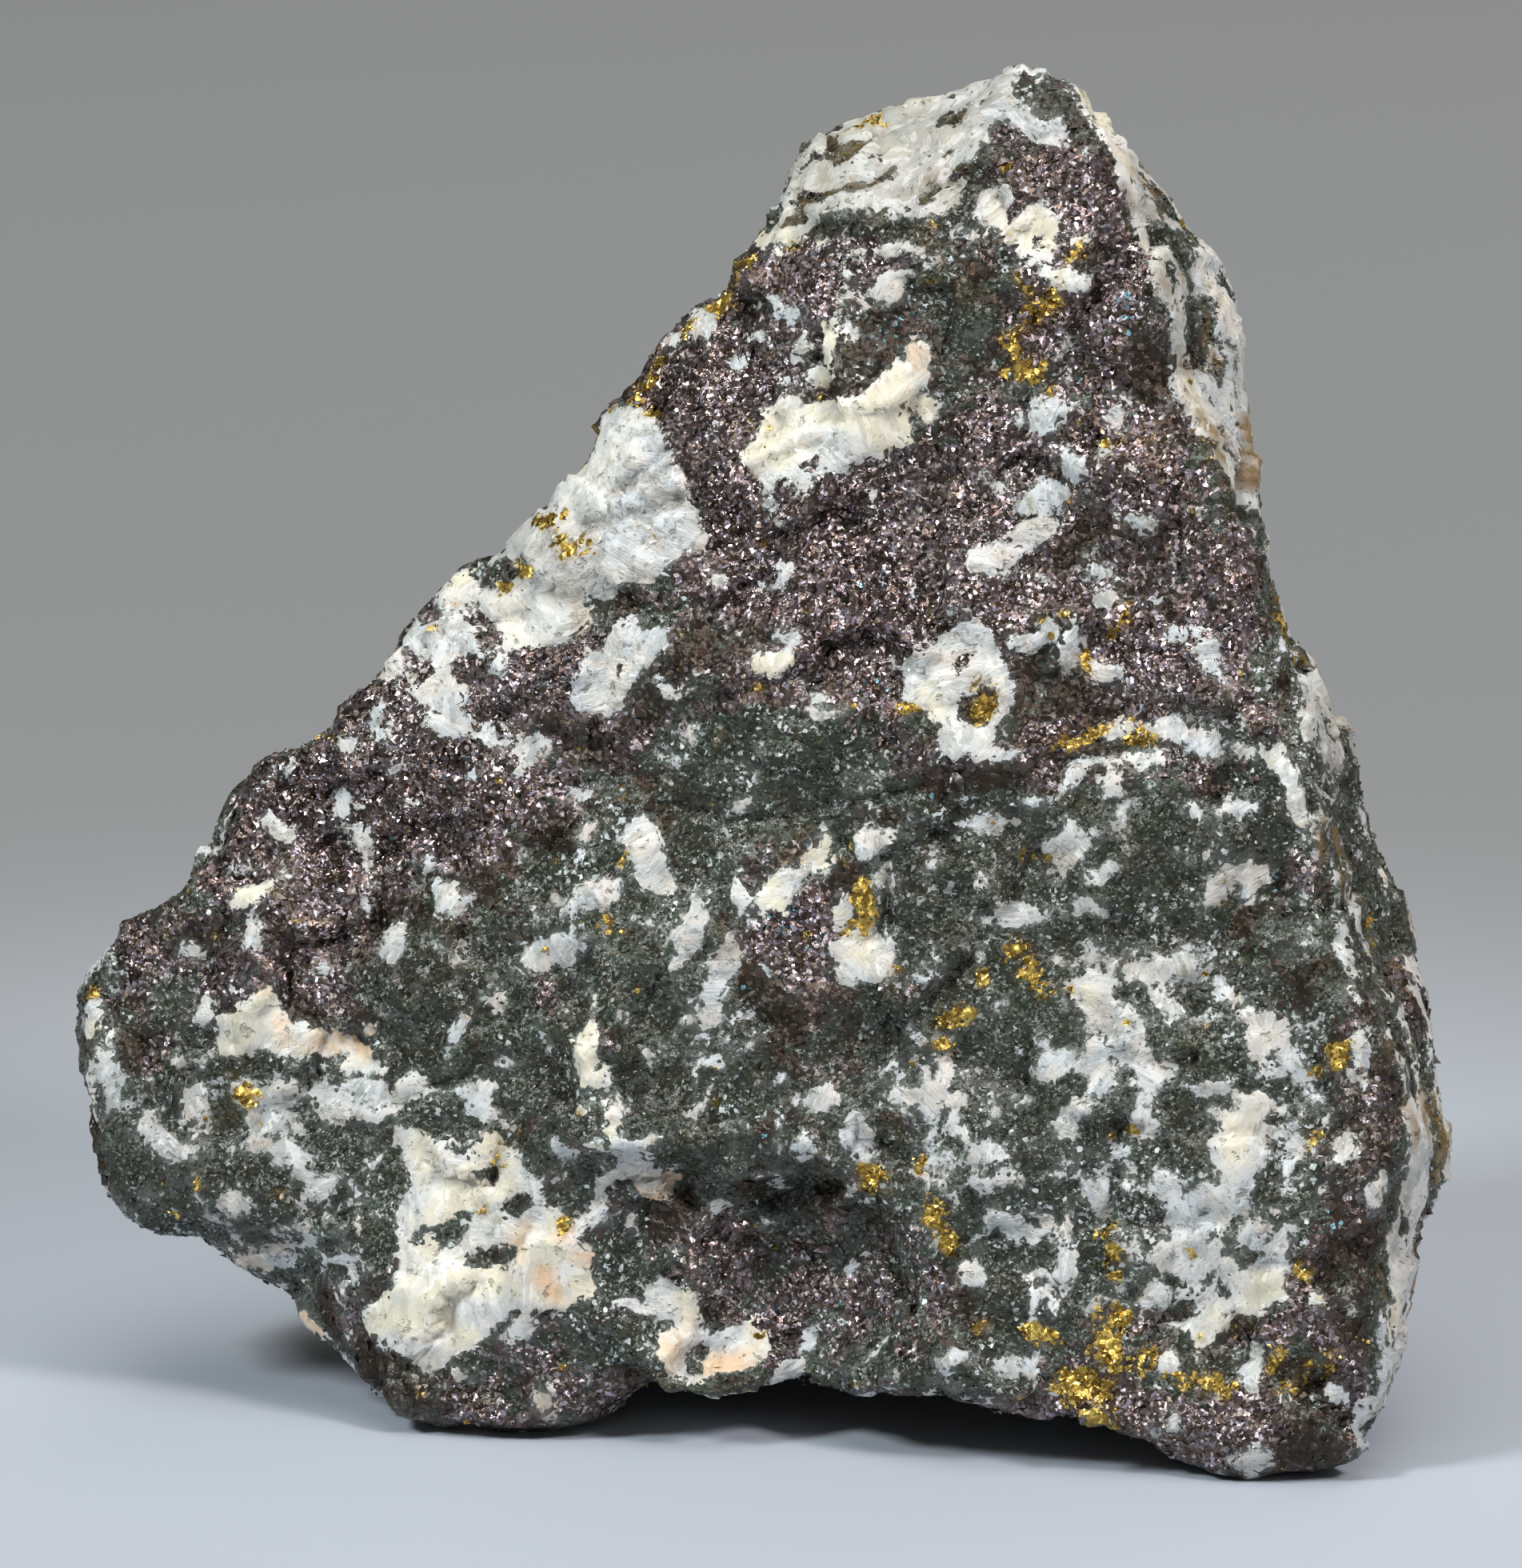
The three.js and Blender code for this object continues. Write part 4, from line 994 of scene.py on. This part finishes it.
def shaded(nodes, colour):
    """The colour, darker at random in patches a few mm across, and darker in the zones of stain and painted
    shade.
    """
    patches = nodes.times(nodes.band(nodes.noise(3.2, 3.0), 0.56, 0.36), 0.45)
    return nodes.mixed(nodes.larger(patches, nodes.times(nodes.field("shade_and_stain"), 0.62)), colour, SHADE_AND_STAIN_BLACK)


def turned(nodes, push):
    """The surface's direction, pushed aside."""
    upright = nodes.add("ShaderNodeNewGeometry").outputs["Normal"]
    return nodes.vectors("NORMALIZE", nodes.vectors("ADD", upright, push), (0, 0, 0))


def mineral_shares(nodes):
    """How much of each mineral shows: it takes over where its field is high, along a granular border."""
    border = granular_border(nodes)
    pale = nodes.plus(nodes.field("pale"), border)
    brass = nodes.plus(nodes.field("brass"), nodes.times(border, 0.8))
    bornite = nodes.plus(nodes.field("bornite"), nodes.times(border, 0.26))
    return {
        "pale": nodes.band(pale, -0.08, 0.2),
        "haze": nodes.band(pale, -1.1, 0.2),
        "brass": nodes.band(brass, -0.05, 0.15),
        "brown": nodes.band(brass, -0.6, 0.1),
        "bornite": nodes.band(bornite, 0.42, 0.58),
    }


def rock_colour(nodes, shares, crystal, pale_rock, hole):
    """Dark minerals, then pale rock, brass and rust over them, then painted shade, near black, in hollows
    and holes.
    """
    dark = nodes.mixed(shares["bornite"], silicate_colour(nodes, crystal), bornite_colour(nodes, crystal))
    dark = nodes.mixed(shares["haze"], shaded(nodes, dark), HAZE, HAZE_SHARE)
    colour = nodes.mixed(shares["pale"], dark, pale_rock)
    colour = nodes.mixed(shares["brown"], colour, RUST, 0.35)
    colour = nodes.mixed(shares["brass"], colour, brass_colour(nodes, crystal))
    colour = nodes.mixed(nodes.field("rust"), colour, RUST)
    # Painted shade: near black mixed in where the skin is hollow, along clefts and in small holes, less on
    # pale rock
    hollow_shade = nodes.times(nodes.band(nodes.field("hollow"), 0.0, 0.35), 0.6)
    shade = nodes.times(nodes.larger(hollow_shade, nodes.times(hole, 0.7)), nodes.blended(shares["pale"], 1.0, 0.45))
    return nodes.mixed(shade, colour, SHADE_AND_STAIN_BLACK)


def rock_push(nodes, shares, bare, crystals, plates):
    """A sideways push for each crystal, strong in metal and where the rock glitters, weak in pale rock."""
    glitter = nodes.blended(nodes.field("glitter"), 0.55, 1.0)
    tilt = nodes.times(nodes.blended(shares["bornite"], 0.6, 0.9), glitter)
    tilt = nodes.larger(nodes.times(tilt, bare), shares["brass"])
    clusters = nodes.centred(nodes.cells(CLUSTER_SIZE, nodes.warped(0.8)))
    lean = nodes.vectors("ADD", nodes.scaled(nodes.centred(crystals), 1.5), nodes.scaled(clusters, 0.9))
    plate_push = nodes.scaled(nodes.centred(plates), nodes.times(shares["pale"], 0.32))
    return nodes.vectors("ADD", nodes.scaled(lean, tilt), plate_push)


def rock_height(nodes, pale, streaks, hole):
    """The finest relief: grain on dark rock, silky streaks on pale rock, and small holes."""
    grain = nodes.times(nodes.noise(0.5, 3.0), 0.6)
    silky = nodes.blended(nodes.field("cream"), streaks, nodes.times(streaks, 0.4))
    return nodes.minus(nodes.blended(pale, grain, nodes.plus(silky, nodes.times(grain, 0.4))), hole)


def ore_material():
    """The whole stone."""
    nodes = Nodes("ore")
    shares = mineral_shares(nodes)
    bare = nodes.minus(1.0, shares["pale"])
    crystals = nodes.cells(CRYSTAL_SIZE, nodes.warped(0.25))
    streaks, plates = fibres(nodes)
    # Small holes: dents in the bump, which the colour also fills with painted shade
    hole = nodes.band(nodes.noise(HOLE_SIZE, 3.0), 0.62, 0.70)
    metallic = nodes.larger(nodes.times(shares["bornite"], bare), shares["brass"])
    metal_rough = nodes.blended(nodes.field("glitter"), DULL_ROUGH, BRIGHT_ROUGH)
    bump = {
        "Height": rock_height(nodes, shares["pale"], streaks, hole),
        "Normal": turned(nodes, rock_push(nodes, shares, bare, crystals, plates)),
        "Distance": 0.25 * MM,
        "Strength": 0.8,
    }
    pale_rock = pale_colour(nodes, streaks, plates)
    return nodes.finish(
        {
            "Base Color": rock_colour(nodes, shares, nodes.parts(crystals), pale_rock, hole),
            "Metallic": nodes.times(metallic, 0.9),
            "Roughness": nodes.blended(
                metallic, nodes.blended(shares["pale"], SILICATE_ROUGH, PALE_ROUGH), metal_rough
            ),
            "Normal": nodes.add("ShaderNodeBump", bump).outputs[0],
        }
    )


def grain_material(name, colour_of, look):
    """Grains of one mineral. Each has a tone of its own, and finer crystals in it."""
    nodes = Nodes(name)
    crystals = nodes.cells(GRAIN_CRYSTAL_SIZE, nodes.warped(0.15))
    crystal = nodes.parts(crystals)
    tone = nodes.blended(0.45, nodes.field("tone"), crystal[0])
    colour = shaded(nodes, colour_of(nodes, (tone, crystal[1], crystal[2])))
    haze = nodes.band(nodes.field("pale"), -1.2, 0.4)
    metallic = nodes.blended(nodes.field("glitter"), 0.55 * look["metallic"], look["metallic"])
    return nodes.finish(
        {
            "Base Color": nodes.mixed(haze, colour, HAZE, look["haze"]),
            "Metallic": metallic,
            "Roughness": nodes.blended(nodes.field("glitter"), look["rough"], BRIGHT_ROUGH),
            "Normal": turned(nodes, nodes.scaled(nodes.centred(crystals), 0.35)),
        }
    )


def lath_material():
    """Silky pale laths."""
    nodes = Nodes("pale_lath")
    streaks, plates = fibres(nodes)
    light = nodes.band(nodes.field("tone"), 0.0, 0.35)
    bump = {"Height": streaks, "Distance": 0.12 * MM, "Strength": 0.6}
    return nodes.finish(
        {
            "Base Color": nodes.mixed(light, PALE_SHADE, pale_colour(nodes, streaks, plates)),
            "Roughness": LATH_ROUGH,
            "Normal": nodes.add("ShaderNodeBump", bump).outputs[0],
        }
    )


def floor_material():
    """Pale cool paper, painted grey away from the stone: painted shade for the fall-off of the lamps' light.
    """
    nodes = Nodes("floor_paper")
    reach = nodes.add("ShaderNodeVectorMath", {0: nodes.place}, operation="LENGTH").outputs["Value"]
    colour = nodes.mixed(nodes.band(reach, *FLOOR_FADE), FLOOR_PALE, FLOOR_GREY)
    colour = nodes.mixed(nodes.band(reach, *FLOOR_FAR_FADE), colour, FLOOR_FAR)
    return nodes.finish({"Base Color": colour, "Roughness": FLOOR_ROUGH})


# ---- Pieces --------------------------------------------------------------------------------------------
def make_stone(frame):
    mesh = fine_mesh(frame["nodes"]["ore_stone"])
    mesh.name = "ore_block"
    store(mesh, roughened(mesh))
    mesh.materials.clear()
    mesh.materials.append(ore_material())
    mesh.polygons.foreach_set("use_smooth", [True] * len(mesh.polygons))
    stone = placed("ore_block", mesh)
    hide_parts("ore_stone")
    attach(stone, "root")
    return stone


def scattered(mesh, rng):
    """Places spread evenly over the surface, in mm, the way it faces at each, and how hollow it is there."""
    mesh.calc_loop_triangles()
    corners = read(mesh.loop_triangles, "vertices", 3, np.int32)
    places, normals = vertex_places(mesh)[corners], vertex_normals(mesh)[corners]
    cross = np.cross(places[:, 1] - places[:, 0], places[:, 2] - places[:, 0])
    area = np.cumsum(np.linalg.norm(cross, axis=1)) / 2
    count = int(GRAINS_PER_MM2 * area[-1])
    picks = (np.arange(count) + rng.random(count)) / count * area[-1]
    chosen = np.searchsorted(area, picks).clip(0, len(area) - 1)
    share = rng.random((count, 2))
    share = np.where(share.sum(1, keepdims=True) > 1, 1 - share, share)
    weights = np.column_stack([1 - share.sum(1), share])[..., None]
    hollow = read(mesh.attributes["hollow"].data, "value", 1, np.float32)[:, 0]
    hollow = (hollow[corners[chosen]] * weights[..., 0]).sum(1)
    return (places[chosen] * weights).sum(1), unit((normals[chosen] * weights).sum(1)), hollow


def unit(vectors):
    return vectors / np.linalg.norm(vectors, axis=1, keepdims=True).clip(TINY)


def fibre_direction(points):
    """Along the pale fibres, which turn from one clump to the next."""
    wander = np.stack([noise(points, 2.2, seed) for seed in (95, 96, 97)], 1)
    return hashed(np.floor(points / FIBRE_BUNDLE + 0.6 * wander).astype(np.int64), 98) - 0.5


def sorted_grains(fields, rng):
    """The places that get a grain, for each piece."""
    strays = rng.normal(size=(3, len(fields["pale"]))) * np.array(STRAYS)[:, None]
    brass = fields["brass"] + strays[0] > 0.05
    pale = ~brass & (fields["pale"] + strays[1] > 0.0)
    bornite = ~brass & ~pale & (fields["bornite"] + strays[2] > 0.5)
    silicate = ~(brass | pale | bornite)
    luck = rng.random(len(pale))
    laths = pale & (fields["pale"] > LATH_DEPTH) & (luck < LATH_SHARE * (1.4 - fields["cream"]))
    bornite &= luck < BORNITE_SHARE + GLITTER_SHARE * fields["glitter"]
    silicate &= luck < SILICATE_SHARE
    return {
        "bornite_grains": bornite,
        "silicate_grains": silicate,
        "chalcopyrite_grains": brass,
        "pale_laths": laths,
    }


def grain_corners(spots, normals, hollow, kind, rng):
    """The corners of each grain, in mm. Grains on a sharp edge are smaller, so that none stands off it."""
    along = fibre_direction(spots)
    count = len(spots)
    least, most = kind["width"]
    width = least + (most - least) * rng.random((count, 1)) ** SMALLNESS
    width *= 1 - EDGE_SHRINK * smooth_step(-hollow, 0.08, 0.30)[:, None]
    half = width / 2 * (kind["long"], 1, kind["flat"]) * rng.uniform(0.8, 1.2, (count, 3))
    corners = OCTAHEDRON * half[:, None] * rng.uniform(0.7, 1.25, (count, 6, 1))
    corners[:, 4, :2] += half[:, :2] * rng.uniform(-0.4, 0.4, (count, 2))
    up = unit(normals + kind["lean"] * rng.normal(size=(count, 3)))
    across = unit(np.cross(up, along))
    axes = np.stack([np.cross(across, up), across, up], 1)
    return (spots - normals * kind["sunk"] * width)[:, None] + corners @ axes


def grain_map(mesh, count):
    """A square of the map for each grain: its upper faces as a diamond, its lower ones in the corners."""
    ring = OCTAHEDRON[:4, :2]
    tips = [ring[a] + ring[b] if c == 5 else (0, 0) for a, b, c in GRAIN_FACES]
    corners = [(ring[a], ring[b], tip) for (a, b, _), tip in zip(GRAIN_FACES, tips)]
    square = 0.5 + MAP_HALF * np.array(corners, float).reshape(-1, 2)
    side = math.ceil(math.sqrt(count))
    number = np.arange(count)
    cell = np.column_stack([number % side, number // side])[:, None]
    layer = mesh.uv_layers.new(name="OFBake")
    layer.data.foreach_set("uv", ((cell + square) / side).astype(np.float32).ravel())


def add_grains(name, kind, spots, normals, fields, material, rng):
    """One joined mesh of grains."""
    count = len(spots)
    corners = grain_corners(spots, normals, fields["hollow"], kind, rng)
    faces = GRAIN_FACES + 6 * np.arange(count)[:, None, None]
    mesh = bpy.data.meshes.new(name)
    mesh.from_pydata(corners.reshape(-1, 3) * MM, [], faces.reshape(-1, 3).tolist())
    grain_map(mesh, count)
    fields = dict(fields, tone=rng.random(count))
    store(mesh, {field: np.repeat(values, 6) for field, values in fields.items()})
    mesh.materials.append(material)
    grains = placed(name, mesh)
    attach(grains, "root")


def make_grains(mesh):
    """Crystals and crumbs all over the stone, each on its own mineral."""
    rng = np.random.default_rng(SEED)
    spots, normals, hollow = scattered(mesh, rng)
    high = spots[:, 2] > LOWEST_GRAIN
    spots, normals = spots[high], normals[high]
    fields = dict(minerals(spots, normals), hollow=hollow[high])
    chosen = sorted_grains(fields, rng)
    pieces = [
        ("bornite_grains", BORNITE_GRAIN, grain_material("bornite", bornite_colour, BORNITE_LOOK)),
        ("silicate_grains", SILICATE_GRAIN, grain_material("silicate", silicate_colour, SILICATE_LOOK)),
        ("chalcopyrite_grains", BRASS_GRAIN, grain_material("chalcopyrite", brass_colour, BRASS_LOOK)),
        ("pale_laths", PALE_LATH, lath_material()),
    ]
    for name, kind, material in pieces:
        here = np.flatnonzero(chosen[name])
        here = np.sort(rng.permutation(here)[:GRAIN_LIMIT])
        kept = {field: values[here] for field, values in fields.items()}
        add_grains(name, kind, spots[here], normals[here], kept, material, rng)


# ---- Studio --------------------------------------------------------------------------------------------
def make_floor():
    """A wide flat sheet under the stone, which fills the picture from any side."""
    corners = [(x * FLOOR_REACH, y * FLOOR_REACH, 0) for x, y in ((-1, -1), (1, -1), (1, 1), (-1, 1))]
    mesh = bpy.data.meshes.new("floor")
    mesh.from_pydata(corners, [], [(0, 1, 2, 3)])
    mesh.materials.append(floor_material())
    sheet = placed("floor", mesh)


def aimed(name, data, target, back, distance):
    """A camera or a lamp that looks at the target from a distance back along a direction."""
    holder = placed(name, data)
    holder.location = target + back * distance
    holder.rotation_euler = (-back).to_track_quat("-Z", "Y").to_euler()
    return holder


def make_camera():
    """A long lens that looks 15 degrees down on the broad face."""
    u, v = FRAME_CENTRE
    along = Vector((0, math.cos(LEAN), -math.sin(LEAN)))
    up = Vector((0, math.sin(LEAN), math.cos(LEAN)))
    target = Vector((u * MM, V_ZERO_Y * MM, 0)) + up * (v * MM) + along * AIM_DEPTH
    camera = bpy.data.cameras.new("camera")
    camera.sensor_fit = "VERTICAL"
    camera.sensor_height = SENSOR
    camera.lens = SENSOR * CAMERA_DISTANCE / FRAME_HEIGHT
    camera.clip_start, camera.clip_end = CLIP
    bpy.context.scene.camera = aimed("camera", camera, target, -along, CAMERA_DISTANCE)


def make_lamp(name, azimuth, height, distance, size, power, colour):
    """A square lamp turned towards the stone."""
    turn, climb = math.radians(azimuth), math.radians(height)
    back = Vector((math.sin(turn) * math.cos(climb), -math.cos(turn) * math.cos(climb), math.sin(climb)))
    lamp = bpy.data.lights.new(name, "AREA")
    lamp.size = size
    lamp.energy = power
    lamp.color = colour
    aimed(name, lamp, Vector(LAMP_AIM), back, distance)


def make_lights():
    for lamp in LAMPS:
        make_lamp(*lamp)
    world = bpy.data.worlds.new("studio")
    world.use_nodes = True
    sky = world.node_tree.nodes["Background"]
    sky.inputs["Color"].default_value = SKY_COLOUR
    sky.inputs["Strength"].default_value = SKY_STRENGTH
    bpy.context.scene.world = world


def set_picture():
    scene = bpy.context.scene
    scene.view_settings.view_transform = "Standard"
    scene.view_settings.look = "None"


def main():
    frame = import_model()
    make_camera()
    make_lights()
    make_floor()
    stone = make_stone(frame)
    make_grains(stone.data)
    set_picture()


main()
